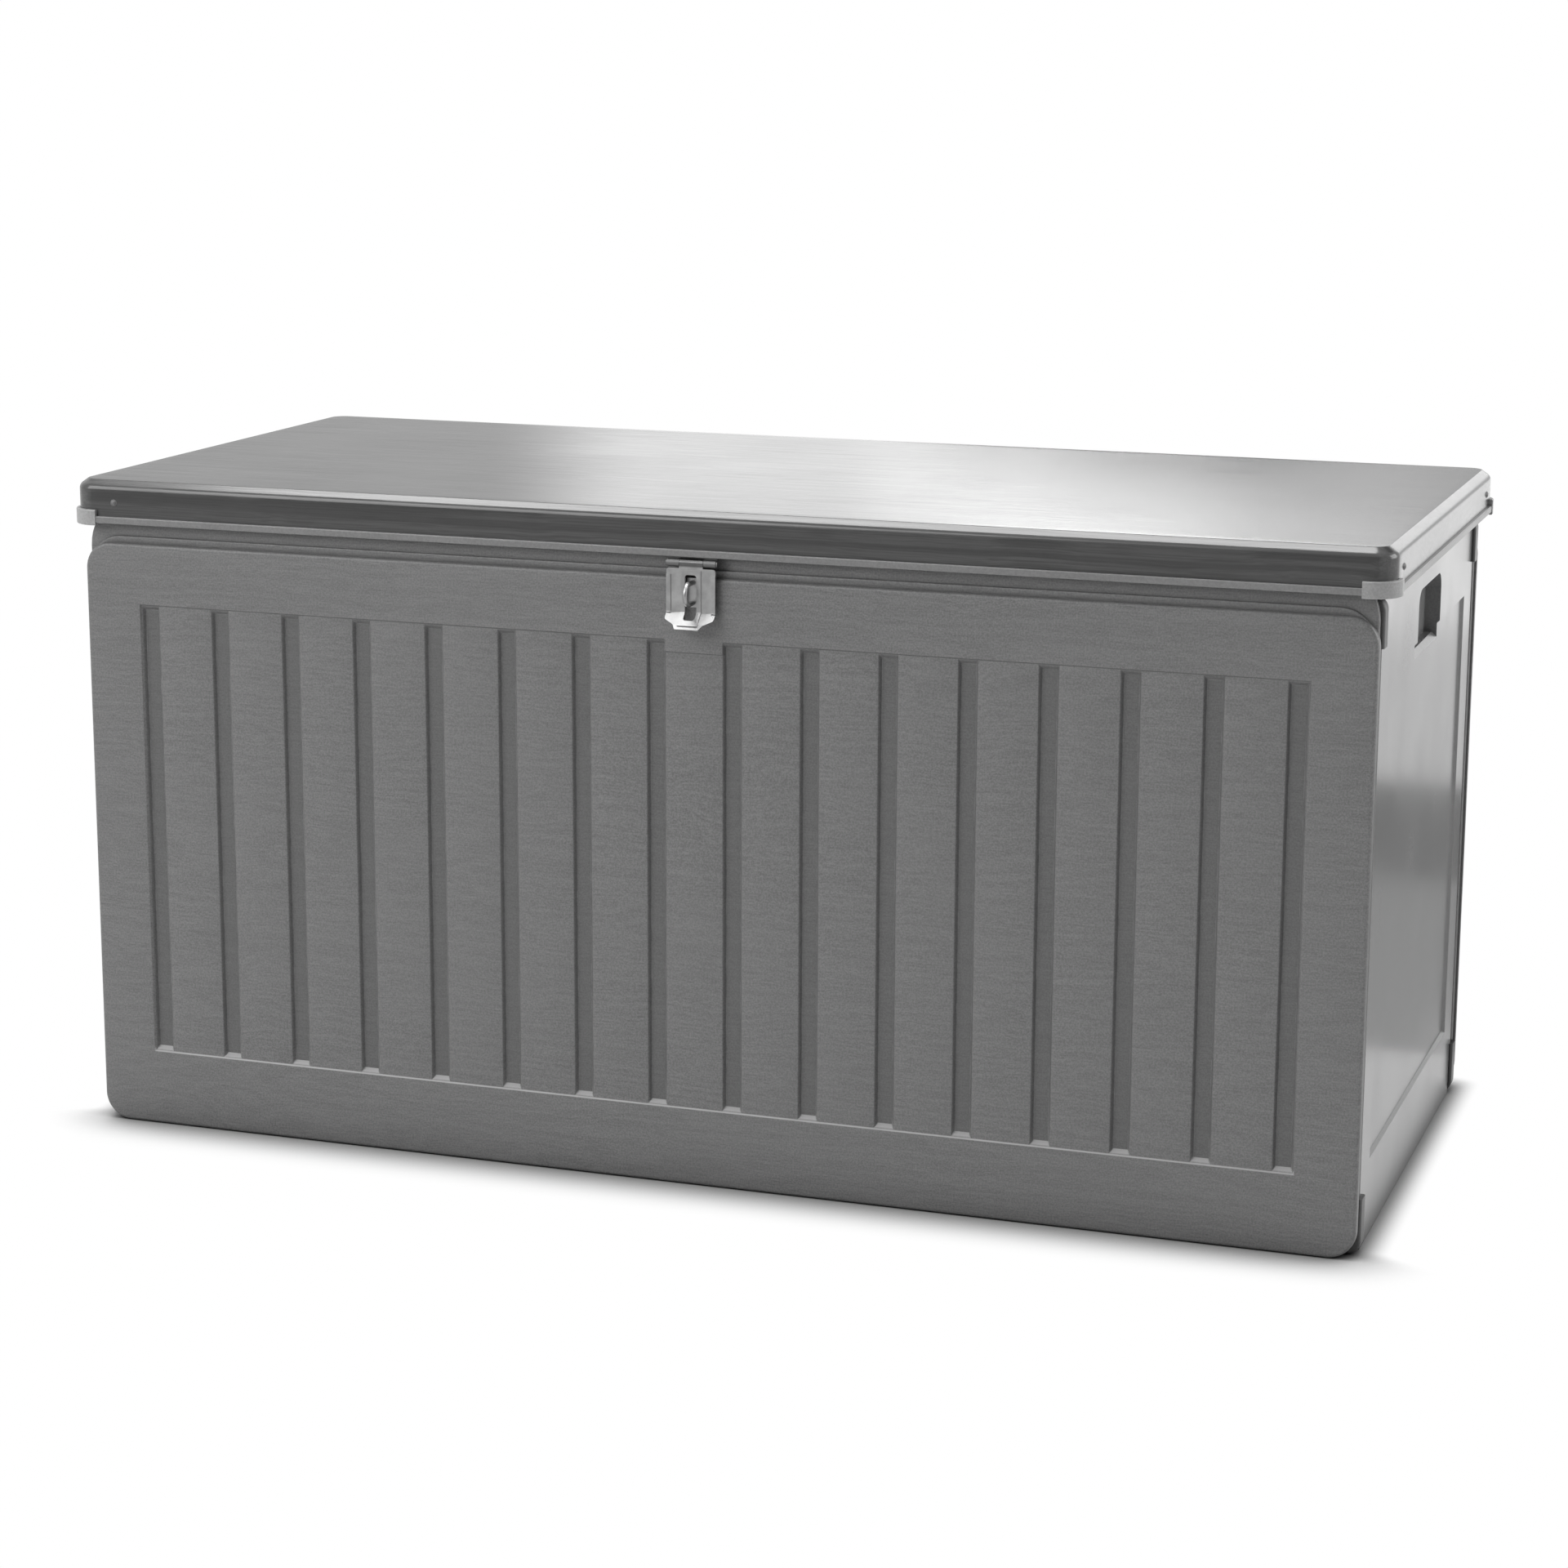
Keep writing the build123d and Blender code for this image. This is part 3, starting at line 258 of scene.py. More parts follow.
def step_lines(edge, run, softness):
    """Grid lines that a soft step needs, from its edge inwards along a run of either sign."""
    shares = np.array([-1, -0.5, 0, 0.5, 1]) * softness
    return edge + run * np.concatenate([shares, [0.5], 1 + shares])


# Wall panels


def wall_field(half_width, low, high, has_pad):
    """Slat field of a wall as a height map: depth below the face over lines set close at each step.

    Depth = field depth * ramp(distance to the field's rim) + groove depth * ramp(distance to a groove's rim)
    + a slow wave, with each ramp's corners softened and the nearest rim taken for each point. Painted shade
    lies on the grooves' sides and along the field's top step, a painted highlight on the grooves' lower ends
    and the field's sill.
    """
    middle = (low + high) / 2
    half_height = (high - low) / 2
    groove_half = half_height - FIELD_DEPTH - GROOVE_LAND
    first = half_width - FIELD_DEPTH - GROOVE_LAND - GROOVE_MOUTH / 2
    grooves = np.linspace(-first, first, GROOVE_COUNT)
    wall_run = (GROOVE_MOUTH - GROOVE_FLOOR) / 2
    slat_half = (grooves[1] - grooves[0] - GROOVE_MOUTH) / 2

    x_lines = [step_lines(-half_width + FIELD_DEPTH * EDGE_SOFTNESS, FIELD_DEPTH, EDGE_SOFTNESS)]
    x_lines += [-x_lines[0]]
    x_lines += [step_lines(g - GROOVE_MOUTH / 2, wall_run, EDGE_SOFTNESS) for g in grooves]
    x_lines += [step_lines(g + GROOVE_MOUTH / 2, -wall_run, EDGE_SOFTNESS) for g in grooves]
    x_lines += [(grooves[1:] + grooves[:-1]) / 2]
    z_lines = [step_lines(low + FIELD_DEPTH * EDGE_SOFTNESS, FIELD_DEPTH, EDGE_SOFTNESS)]
    z_lines += [step_lines(high - FIELD_DEPTH * EDGE_SOFTNESS, -FIELD_DEPTH, EDGE_SOFTNESS)]
    z_lines += [step_lines(middle - groove_half, GROOVE_DEPTH, EDGE_SOFTNESS)]
    z_lines += [step_lines(middle + groove_half, -GROOVE_DEPTH, EDGE_SOFTNESS)]
    z_lines += [step_lines(high - LATCH_PAD, -FIELD_DEPTH, EDGE_SOFTNESS)]
    z_lines += [np.linspace(low, high, FIELD_LINES)]
    xs = np.unique(np.round(np.concatenate(x_lines), 6))
    zs = np.unique(np.round(np.concatenate(z_lines), 6))
    x, z = np.meshgrid(xs, zs)

    to_side = half_width - abs(x)
    to_end = half_height - abs(z - middle)
    rim = np.minimum(to_side, to_end)
    if has_pad:
        rim = np.minimum(rim, np.maximum(abs(x) - slat_half, high - LATCH_PAD - z))
    stepped = soft_ramp(rim / FIELD_DEPTH - EDGE_SOFTNESS, EDGE_SOFTNESS)
    to_groove = abs(x[..., None] - grooves).min(axis=-1)
    down_side = (GROOVE_MOUTH / 2 - to_groove) / wall_run
    down_end = (groove_half - abs(z - middle)) / GROOVE_DEPTH
    sunk = soft_ramp(np.minimum(down_side, down_end), EDGE_SOFTNESS)
    slow = np.sin(7.1 * x + 2.3 * z + 0.4) * np.sin(9.7 * z - 1.9 * x + 1.1)
    inside = np.clip(to_side * to_end / (half_width * half_height), 0, 1)
    depth = FIELD_DEPTH * stepped + GROOVE_DEPTH * sunk + WALL_WAVE * slow * inside

    # Painted shade: darker down the grooves' sides and floors and along the field's top step, where shade
    # falls.
    over_end = np.clip((z - middle + groove_half) / (3 * GROOVE_DEPTH), 0, 1)
    in_groove = (SLOPE_PAINTED_SHADE * slope_share(sunk) + GROOVE_FLOOR_PAINTED_SHADE * sunk) * over_end
    at_top = slope_share(stepped) * (z > high - LATCH_PAD - 3 * FIELD_DEPTH)
    # Painted highlight: paler on the grooves' lower ends and the field's sill, where the overhead light
    # glints.
    at_lower_end = (groove_half + z - middle) / GROOVE_DEPTH < down_side
    on_end = np.clip(PAINTED_HIGHLIGHT_SPREAD * slope_share(sunk), 0, 1) * at_lower_end
    on_sill = np.clip(PAINTED_HIGHLIGHT_SPREAD * slope_share(stepped), 0, 1) * (z < low + 3 * FIELD_DEPTH)
    return xs, zs, depth, np.maximum(in_groove, at_top), np.maximum(on_end, on_sill)


def wall_mesh(name, face_y, inward, has_pad):
    """A wall panel as three closed shells: plate with slat field, ledge, and flange with core.

    Each shell is a profile of (reach, sink) pairs carried round a rounded rectangle: a row is the outline at
    that reach, sunk that far below the face. The slat field closes the front of the plate.
    """
    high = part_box(name)[1]
    half_width = high.x
    field_half = half_width - FIELD_SIDE_BORDER
    field_middle = (FIELD_LOW + FIELD_HIGH) / 2
    field_height = (FIELD_HIGH - FIELD_LOW) / 2
    xs, zs, depth, painted_shade, painted_highlight = wall_field(field_half, FIELD_LOW, FIELD_HIGH, has_pad)
    along_width = xs / field_half
    along_height = (zs - field_middle) / field_height

    def shell(half_w, half_h, middle, profile):
        """Rows of points of a profile carried round the rectangle about (0, middle)."""
        core, out = outline_paths(half_w, half_h, along_width, along_height, WALL_ARC_STEPS)
        flat, sink = carried(profile, core, out)
        return np.stack([flat[..., 0], face_y + inward * sink, flat[..., 1] + middle], axis=-1)

    plate_half = PLATE_HEIGHT / 2
    profile = [(PLATE_CORNER, PLATE_THICKNESS + PLATE_BITE)]
    profile += arc_rows((PLATE_CORNER - PLATE_RIM, PLATE_RIM), PLATE_RIM, 0, -90, 7)
    border = shell(half_width - PLATE_CORNER, plate_half - PLATE_CORNER, plate_half, profile)
    plate = np.concatenate([border, shell(field_half, field_height, field_middle, [(0, 0)])])
    x, z = np.meshgrid(xs, zs)
    field = np.stack([x, face_y + inward * depth, z], axis=-1)

    ledge_half = (PLATE_HEIGHT + LEDGE_RISE) / 2
    ledge_face = PLATE_THICKNESS - LEDGE_THICKNESS
    profile = [(LEDGE_CORNER, PLATE_THICKNESS + PLATE_BITE)]
    profile += arc_rows((LEDGE_CORNER - LEDGE_ROUND, ledge_face + LEDGE_ROUND), LEDGE_ROUND, 0, -90, 5)
    profile += [(LEDGE_CORNER - LEDGE_RISE, ledge_face)]
    ledge = shell(half_width - LEDGE_SET_IN - LEDGE_CORNER, ledge_half - LEDGE_CORNER, ledge_half, profile)

    wall_half = high.z / 2
    flange_half = half_width - FLANGE_SET_IN
    inner = FLANGE_CORNER - FLANGE_EDGE
    profile = arc_rows((inner, PLATE_THICKNESS + FLANGE_EDGE), FLANGE_EDGE, -90, 0, 5)
    profile += arc_rows((inner, FLANGE_BACK - FLANGE_EDGE), FLANGE_EDGE, 0, 90, 5)
    rim = shell(flange_half - FLANGE_CORNER, wall_half - FLANGE_CORNER, wall_half, profile)
    profile = [(CORE_CORNER, FLANGE_BACK)]
    profile += arc_rows((CORE_CORNER - FLANGE_EDGE, CORE_BACK - FLANGE_EDGE), FLANGE_EDGE, 0, 90, 5)
    block = shell(CORE_HALF_WIDTH - CORE_CORNER, wall_half - CORE_CORNER, wall_half, profile)
    flange = np.concatenate([rim, block])

    parts = [plate, field, ledge, flange]
    starts = np.cumsum([0] + [part.size // 3 for part in parts])
    faces = shell_faces(plate, starts[0], [0])
    faces += grid_faces(len(zs), len(xs), starts[1])
    faces += shell_faces(ledge, starts[2], [0, -1])
    faces += shell_faces(flange, starts[3], [0, -1])
    # Painted shade at the plate's back edge where it meets the flange, in the grooves, and at the ledge's
    # foot.
    painted_shades = [np.zeros(part.shape[:2]) for part in parts]
    painted_shades[0][0] = PLATE_BACK_PAINTED_SHADE
    painted_shades[1] = painted_shade
    painted_shades[2][-1] = LEDGE_FOOT_PAINTED_SHADE
    # Painted highlight on the grooves' lower ends and the field's sill.
    painted_highlights = [np.zeros(part.shape[:2]) for part in parts]
    painted_highlights[1] = painted_highlight
    points = np.concatenate([part.reshape(-1, 3) for part in parts])
    marks = {
        "painted_shade": np.concatenate([values.ravel() for values in painted_shades]),
        "painted_highlight": np.concatenate([values.ravel() for values in painted_highlights]),
    }
    return closed_mesh(name, points, faces, WALL_SHARP, marks)


# Lid


def lid_mesh():
    """The lid sheet as one profile carried round a rounded rectangle.

    It runs over the flat top, down the bevel, round the fold, down the skirt, under the hem and back inside.
    The flat top sinks by slow waves that die out towards its edges.
    """
    low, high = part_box("lid_shell")
    half_width, half_depth = high.x, high.y
    slope = math.atan2(LID_BEVEL_DROP, LID_BEVEL)
    turn = math.pi / 2 - slope
    tangent = LID_FOLD * math.tan(turn / 2)

    def profile(inset):
        """Outside of the sheet drawn in by inset, from the top's edge to the hem, as (reach, height)."""
        top = high.z - inset
        fold = LID_FOLD - inset
        reach = LID_CORNER - inset
        fold_centre = (reach - fold, top - LID_BEVEL_DROP - tangent)
        start = 90 - math.degrees(slope)
        crease = LID_CREASE - min(inset, LID_CREASE / 2)
        crease_centre = (reach - LID_BEVEL - crease * math.tan(slope / 2), top - crease)
        rows = arc_rows(crease_centre, crease, 90, start, 5)
        rows += arc_rows(fold_centre, fold, start, 0, 9)
        return rows + [(reach, low.z)]

    along_width = np.linspace(-1, 1, LID_LINES_ALONG)
    along_depth = np.linspace(-1, 1, LID_LINES_ACROSS)
    core_size = (half_width - LID_CORNER, half_depth - LID_CORNER)
    core, out = outline_paths(*core_size, along_width, along_depth, LID_ARC_STEPS)
    rows = np.dstack(carried(profile(0) + profile(LID_SHEET)[::-1], core, out))
    ridge_half = half_width - half_depth
    ridge = np.column_stack([np.clip(rows[0][:, 0], -ridge_half, ridge_half), np.zeros(len(core))])

    def flat_rows(edge, shares, height):
        """Rows of a level face, each a share of the way from the lid's middle line to an edge row."""
        flat = ridge + shares[:, None, None] * (edge[:, :2] - ridge)
        return np.dstack([flat, np.full(flat.shape[:2], height)])

    shares = np.linspace(0, 1, LID_TOP_ROWS + 1)[:-1]
    top = flat_rows(rows[0], shares, high.z)
    under = flat_rows(rows[-1], shares[::-1], high.z - LID_SHEET)
    points = np.concatenate([top, rows, under])
    x, y = points[..., 0], points[..., 1]
    slow = np.sin(8.3 * x + 3.1 * y + 0.7) * np.cos(6.9 * y - 2.2 * x) + 0.6 * np.sin(13.7 * x - 5.3 * y)
    share = np.concatenate([shares, np.ones(len(rows)), shares[::-1]])[:, None]
    points[..., 2] -= LID_WAVE * (1 - share**4) * (0.5 + 0.5 * slow)
    return closed_mesh("lid_sheet", points, shell_faces(points, 0, []), LID_SHARP)


# Node tools


class Wiring:
    """Adds nodes to one tree; an input given a socket is linked and one given a value is set."""

    def __init__(self, tree):
        self.tree = tree

    def add(self, kind, inputs=None, **settings):
        """A new node with its settings and inputs."""
        node = self.tree.nodes.new(kind)
        for key, value in settings.items():
            setattr(node, key, value)
        for key, value in (inputs or {}).items():
            self.put(node.inputs[key], value)
        return node

    def put(self, socket, value):
        """Links or sets one input."""
        if isinstance(value, bpy.types.NodeSocket):
            self.tree.links.new(value, socket)
        else:
            socket.default_value = value

    def calc(self, operation, first, second=0.0):
        """One step of arithmetic."""
        return self.add("ShaderNodeMath", {0: first, 1: second}, operation=operation).outputs[0]

    def remap(self, value, low, high, to_low=0.0, to_high=1.0):
        """A value's smooth climb between two limits, carried over to two others."""
        given = {"Value": value, "From Min": low, "From Max": high, "To Min": to_low, "To Max": to_high}
        return self.add("ShaderNodeMapRange", given, interpolation_type="SMOOTHSTEP").outputs[0]

    def noise(self, vector, scale, detail=2.0, roughness=0.5):
        """Cloudy noise between 0 and 1."""
        given = {"Vector": vector, "Scale": scale, "Detail": detail, "Roughness": roughness}
        return self.add("ShaderNodeTexNoise", given).outputs["Fac"]

    def vector(self, operation, first, second=(0.0, 0.0, 0.0)):
        """One step of vector arithmetic with a vector result."""
        return self.add("ShaderNodeVectorMath", {0: first, 1: second}, operation=operation).outputs[0]

    def measure(self, operation, first, second=(0.0, 0.0, 0.0)):
        """One step of vector arithmetic with a number as its result."""
        given = {0: first, 1: second}
        return self.add("ShaderNodeVectorMath", given, operation=operation).outputs["Value"]

    def bump(self, strength, distance, height):
        """A bump node for a height."""
        given = {"Strength": strength, "Distance": distance, "Height": height}
        return self.add("ShaderNodeBump", given)

    def blend(self, factor, first, second):
        """A colour between two others."""
        node = self.add("ShaderNodeMix", {"Factor": factor}, data_type="RGBA")
        self.put(node.inputs[6], first)
        self.put(node.inputs[7], second)
        return node.outputs[2]


def new_group(name, inputs, outputs):
    """An empty shader group with named inputs (label, kind, value) and outputs (label, kind)."""
    tree = bpy.data.node_groups.new(name, "ShaderNodeTree")
    for label, kind, value in inputs:
        socket = tree.interface.new_socket(label, in_out="INPUT", socket_type=kind)
        if value is not None:
            socket.default_value = value
    for label, kind in outputs:
        tree.interface.new_socket(label, in_out="OUTPUT", socket_type=kind)
    given = tree.nodes.new("NodeGroupInput").outputs
    result = tree.nodes.new("NodeGroupOutput").inputs
    return Wiring(tree), given, result


def wood_grain_group():
    """Wood grain along X: short fine strokes, and the flowing figure of a broad noise's contour lines.

    Both are noises stretched along X and swayed aside by a slow noise. Height is three parts strokes to one
    part figure.
    """
    w, given, result = new_group(
        "wood_grain",
        [
            ("Vector", "NodeSocketVector", None),
            ("Stroke Spacing", "NodeSocketFloat", 2.4 * MM),
            ("Stroke Length", "NodeSocketFloat", 60 * MM),
            ("Figure Lines", "NodeSocketFloat", 14.0),
            ("Figure Length", "NodeSocketFloat", 1.1),
            ("Sway", "NodeSocketFloat", 22 * MM),
        ],
        [("Height", "NodeSocketFloat"), ("Strokes", "NodeSocketFloat"), ("Figure", "NodeSocketFloat")],
    )
    drift = w.calc("SUBTRACT", w.noise(given["Vector"], 9.0, 2.0), 0.5)
    sway = w.calc("MULTIPLY", drift, given["Sway"])
    aside = w.add("ShaderNodeCombineXYZ", {1: sway, 2: sway}).outputs[0]
    swayed = w.vector("ADD", given["Vector"], aside)
    along = w.calc("DIVIDE", 1.0, given["Stroke Length"])
    across = w.calc("DIVIDE", 1.0, given["Stroke Spacing"])
    scale = w.add("ShaderNodeCombineXYZ", {0: along, 1: across, 2: across}).outputs[0]
    strokes = w.noise(w.vector("MULTIPLY", swayed, scale), 1.0, 2.0, 0.6)
    strokes = w.remap(strokes, 0.25, 0.75)
    figure_along = w.calc("DIVIDE", 1.0, given["Figure Length"])
    figure_scale = w.add("ShaderNodeCombineXYZ", {0: figure_along, 1: 24.0, 2: 24.0}).outputs[0]
    broad = w.noise(w.vector("MULTIPLY", swayed, figure_scale), 1.0, 1.0, 0.4)
    turns = w.calc("MULTIPLY", broad, given["Figure Lines"])
    contours = w.calc("SINE", w.calc("MULTIPLY", turns, 2 * math.pi))
    figure = w.remap(contours, -0.7, 1.0)
    height = w.calc("ADD", w.calc("MULTIPLY", strokes, 0.75), w.calc("MULTIPLY", figure, 0.25))
    w.put(result["Strokes"], strokes)
    w.put(result["Figure"], figure)
    w.put(result["Height"], height)
    return w.tree


def worn_edge_group():
    """Mask of worn edges: where a rounded normal leaves the true one, broken up by noise."""
    w, given, result = new_group(
        "worn_edge",
        [("Vector", "NodeSocketVector", None), ("Width", "NodeSocketFloat", 1.2 * MM)],
        [("Mask", "NodeSocketFloat")],
    )
    rounded = w.add("ShaderNodeBevel", {"Radius": given["Width"]}, samples=4).outputs[0]
    true = w.add("ShaderNodeNewGeometry").outputs["Normal"]
    edge = w.remap(w.measure("DOT_PRODUCT", rounded, true), 0.995, 0.9)
    patches = w.remap(w.noise(given["Vector"], 60.0, 4.0, 0.65), 0.35, 0.7)
    w.put(result["Mask"], w.calc("MULTIPLY", edge, patches))
    return w.tree


def mottle_group():
    """Cloudy variation of a moulded or painted skin, and fine specks of texture."""
    w, given, result = new_group(
        "mottle",
        [("Vector", "NodeSocketVector", None), ("Speck Scale", "NodeSocketFloat", 900.0)],
        [("Cloud", "NodeSocketFloat"), ("Speck", "NodeSocketFloat")],
    )
    w.put(result["Cloud"], w.remap(w.noise(given["Vector"], 7.0, 2.0, 0.5), 0.1, 0.9))
    w.put(result["Speck"], w.noise(given["Vector"], given["Speck Scale"], 2.0, 0.6))
    return w.tree


WOOD_GRAIN = wood_grain_group()
WORN_EDGE = worn_edge_group()
MOTTLE = mottle_group()


def bare_material(name):
    """A material with no nodes yet, and its wiring."""
    material = bpy.data.materials.new(name)
    material.use_nodes = True
    material.node_tree.nodes.clear()
    return material, Wiring(material.node_tree)


def new_material(name):
    """A material with its wiring, its Principled shader's inputs and its object coordinates."""
    material, w = bare_material(name)
    shader = w.add("ShaderNodeBsdfPrincipled")
    w.add("ShaderNodeOutputMaterial", {"Surface": shader.outputs[0]})
    place = w.add("ShaderNodeTexCoord").outputs["Object"]
    return material, w, shader.inputs, place


def grey(level):
    """An opaque neutral colour of a linear grey level."""
    return (level, level, level, 1.0)


def use(w, tree, **given):
    """Places a shared group with its own values and returns its outputs."""
    node = w.add("ShaderNodeGroup", node_tree=tree)
    for key, value in given.items():
        w.put(node.inputs[key.replace("_", " ")], value)
    return node.outputs


# Finishes


def grained_plastic(name, level, gloss):
    """Moulded wall plastic: embossed wood strokes, cloudy gloss, rubbed edges, painted shade in corners,
    painted highlight on ledges.
    """
    material, w, skin, place = new_material(name)
    grain = use(
        w, WOOD_GRAIN, Vector=place, Stroke_Spacing=1.2 * MM, Stroke_Length=22 * MM, Figure_Lines=16.0,
    )
    mottle = use(w, MOTTLE, Vector=place, Speck_Scale=620.0)
    worn = use(w, WORN_EDGE, Vector=place)["Mask"]
    specks = w.calc("MULTIPLY", w.remap(mottle["Speck"], 0.3, 0.7), 0.6)
    emboss = w.calc("ADD", w.calc("MULTIPLY", grain["Height"], 0.4), specks)
    tone = w.blend(emboss, grey(level * 0.63), grey(level * 1.34))
    tone = w.blend(w.calc("MULTIPLY", mottle["Cloud"], 0.3), tone, grey(level * 1.05))
    # Painted shade: darker in the grooves, at the field's top step, and where the plate meets the flange and
    # ledge.
    painted_shade = w.add("ShaderNodeAttribute", attribute_name="painted_shade").outputs["Fac"]
    tone = w.blend(w.calc("MULTIPLY", painted_shade, 0.6), tone, grey(level * 0.4))
    # Painted highlight: paler on the ledges that catch the overhead light.
    painted_highlight = w.add("ShaderNodeAttribute", attribute_name="painted_highlight").outputs["Fac"]
    tone = w.blend(w.calc("MULTIPLY", painted_highlight, 0.8), tone, grey(level * 2.7))
    w.put(skin["Base Color"], w.blend(w.calc("MULTIPLY", worn, 0.5), tone, grey(level * 1.9)))
    clouded = w.remap(mottle["Cloud"], 0, 1, gloss, gloss + 0.08)
    w.put(skin["Roughness"], w.calc("ADD", clouded, w.calc("MULTIPLY", grain["Strokes"], 0.06)))
    height = w.calc("ADD", grain["Height"], w.calc("MULTIPLY", mottle["Speck"], 0.35))
    w.put(skin["Normal"], w.bump(0.5, 0.2 * MM, height).outputs[0])
    return material


def smooth_plastic(name, level, gloss, wave, texture=0.3):
    """Plain moulded plastic: a fine leathery skin over slow hollows, and edges rubbed pale."""
    material, w, skin, place = new_material(name)
    mottle = use(w, MOTTLE, Vector=place, Speck_Scale=520.0)
    worn = use(w, WORN_EDGE, Vector=place, Width=0.9 * MM)["Mask"]
    specks = w.calc("MULTIPLY", w.remap(mottle["Speck"], 0.3, 0.7), 0.5)
    leather = w.calc("ADD", w.calc("MULTIPLY", mottle["Cloud"], 0.5), specks)
    tone = w.blend(leather, grey(level * 0.81), grey(level * 1.19))
    rubbed = grey(level * 1.8 + 0.02)
    w.put(skin["Base Color"], w.blend(w.calc("MULTIPLY", worn, 0.5), tone, rubbed))
    w.put(skin["Roughness"], w.remap(mottle["Cloud"], 0, 1, gloss, gloss + 0.08))
    slow = w.noise(w.vector("MULTIPLY", place, (5.0, 5.0, 4.0)), 1.0, 1.0, 0.4)
    hollows = w.bump(1.0, wave, slow)
    fine = w.bump(texture, 0.08 * MM, mottle["Speck"])
    w.put(fine.inputs["Normal"], hollows.outputs[0])
    w.put(skin["Normal"], fine.outputs[0])
    return material


def printed_sheet(name, level):
    """Coated lid sheet: a printed wood figure under lacquer, faint brush marks, a plain coat underneath."""
    material, w, skin, place = new_material(name)
    grain = use(
        w, WOOD_GRAIN, Vector=place, Stroke_Spacing=1.6 * MM, Stroke_Length=170 * MM,
        Figure_Lines=14.0, Figure_Length=3.5, Sway=9 * MM,
    )
    mottle = use(w, MOTTLE, Vector=place)
    worn = use(w, WORN_EDGE, Vector=place, Width=0.8 * MM)["Mask"]
    figure = w.blend(grain["Figure"], grey(level * 0.82), grey(level * 1.2))
    tone = w.blend(w.calc("MULTIPLY", grain["Strokes"], 0.7), figure, grey(level * 0.55))
    normal = w.add("ShaderNodeTexCoord").outputs["Normal"]
    facing_up = w.add("ShaderNodeSeparateXYZ", {0: normal}).outputs[2]
    back_coat = w.blend(mottle["Cloud"], grey(level * 1.2), grey(level * 1.45))
    tone = w.blend(w.remap(facing_up, -0.5, -0.8), tone, back_coat)
    w.put(skin["Base Color"], w.blend(w.calc("MULTIPLY", worn, 0.4), tone, grey(0.3)))
    clouded = w.remap(mottle["Cloud"], 0, 1, 0.15, 0.18)
    w.put(skin["Roughness"], w.calc("ADD", clouded, w.calc("MULTIPLY", grain["Strokes"], 0.06)))
    w.put(skin["Normal"], w.bump(0.35, 0.06 * MM, grain["Height"]).outputs[0])
    return material


def plated_steel(name, level, gloss, painted_shadow_above=None):
    """Zinc-plated steel: cloudy passivation, fine rolling marks, bright rubbed edges.

    The last argument, where given, is the height past which the plating is painted darker, a painted shadow
    of the lid's trim.
    """
    material, w, skin, place = new_material(name)
    mottle = use(w, MOTTLE, Vector=place, Speck_Scale=1600.0)
    worn = use(w, WORN_EDGE, Vector=place, Width=0.5 * MM)["Mask"]
    clouds = w.remap(w.noise(place, 90.0, 4.0, 0.6), 0.3, 0.7)
    tone = w.blend(clouds, grey(level * 0.86), grey(level * 1.08))
    tone = w.blend(w.calc("MULTIPLY", worn, 0.6), tone, grey(min(1.0, level * 1.35)))
    if painted_shadow_above is not None:
        # Painted shadow: darker above the given height, where the lid's trim shades the hinge.
        up = w.add("ShaderNodeSeparateXYZ", {0: place}).outputs[2]
        painted_trim_shadow = w.remap(up, painted_shadow_above, painted_shadow_above + 2 * MM)
        tone = w.blend(w.calc("MULTIPLY", painted_trim_shadow, 0.9), tone, grey(level * 0.25))
    w.put(skin["Base Color"], tone)
    skin["Metallic"].default_value = 1.0
    w.put(skin["Roughness"], w.remap(clouds, 0, 1, gloss, gloss + 0.12))
    rolling = w.noise(w.vector("MULTIPLY", place, (300.0, 300.0, 2600.0)), 1.0, 2.0, 0.6)
    height = w.calc("ADD", w.calc("MULTIPLY", rolling, 0.5), w.calc("MULTIPLY", mottle["Speck"], 0.5))
    w.put(skin["Normal"], w.bump(0.25, 0.05 * MM, height).outputs[0])
    return material


def painted_steel(name, level):
    """Dark painted tube and channel: slight orange peel, paint thinned on the edges."""
    material, w, skin, place = new_material(name)
    mottle = use(w, MOTTLE, Vector=place, Speck_Scale=700.0)
    worn = use(w, WORN_EDGE, Vector=place, Width=0.8 * MM)["Mask"]
    tone = w.blend(mottle["Cloud"], grey(level * 0.9), grey(level * 1.12))
    w.put(skin["Base Color"], w.blend(w.calc("MULTIPLY", worn, 0.5), tone, grey(level * 2.2)))
    w.put(skin["Roughness"], w.remap(mottle["Cloud"], 0, 1, 0.38, 0.5))
    w.put(skin["Normal"], w.bump(0.3, 0.1 * MM, mottle["Speck"]).outputs[0])
    return material


def dress(name, material):
    """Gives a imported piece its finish."""
    nodes[name].material_slots[0].material = material


wall_plastic = grained_plastic("wall_plastic_grained", level=0.124, gloss=0.36)
side_plastic = smooth_plastic("side_plastic_smooth", level=0.14, gloss=0.2, wave=0.6 * MM, texture=0.03)
lid_print = printed_sheet("lid_sheet_printed", level=0.055)
# A darker copy of the hasp's plated steel: painted shade for the bracket and pin, which sit in the lid trim's
# shadow.
shaded_zinc = plated_steel("hasp_bracket_painted_shade", level=0.16, gloss=0.5)
strip_plastic = smooth_plastic("trim_strip_satin", level=0.15, gloss=0.3, wave=0.1 * MM)
# A lighter grey copy of the black connector plastic, for the front connectors only.
lighter_connector_plastic = smooth_plastic("connector_plastic_lighter", level=0.06, gloss=0.45, wave=0.1 * MM)
flap_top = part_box("hasp_flap")[1].z
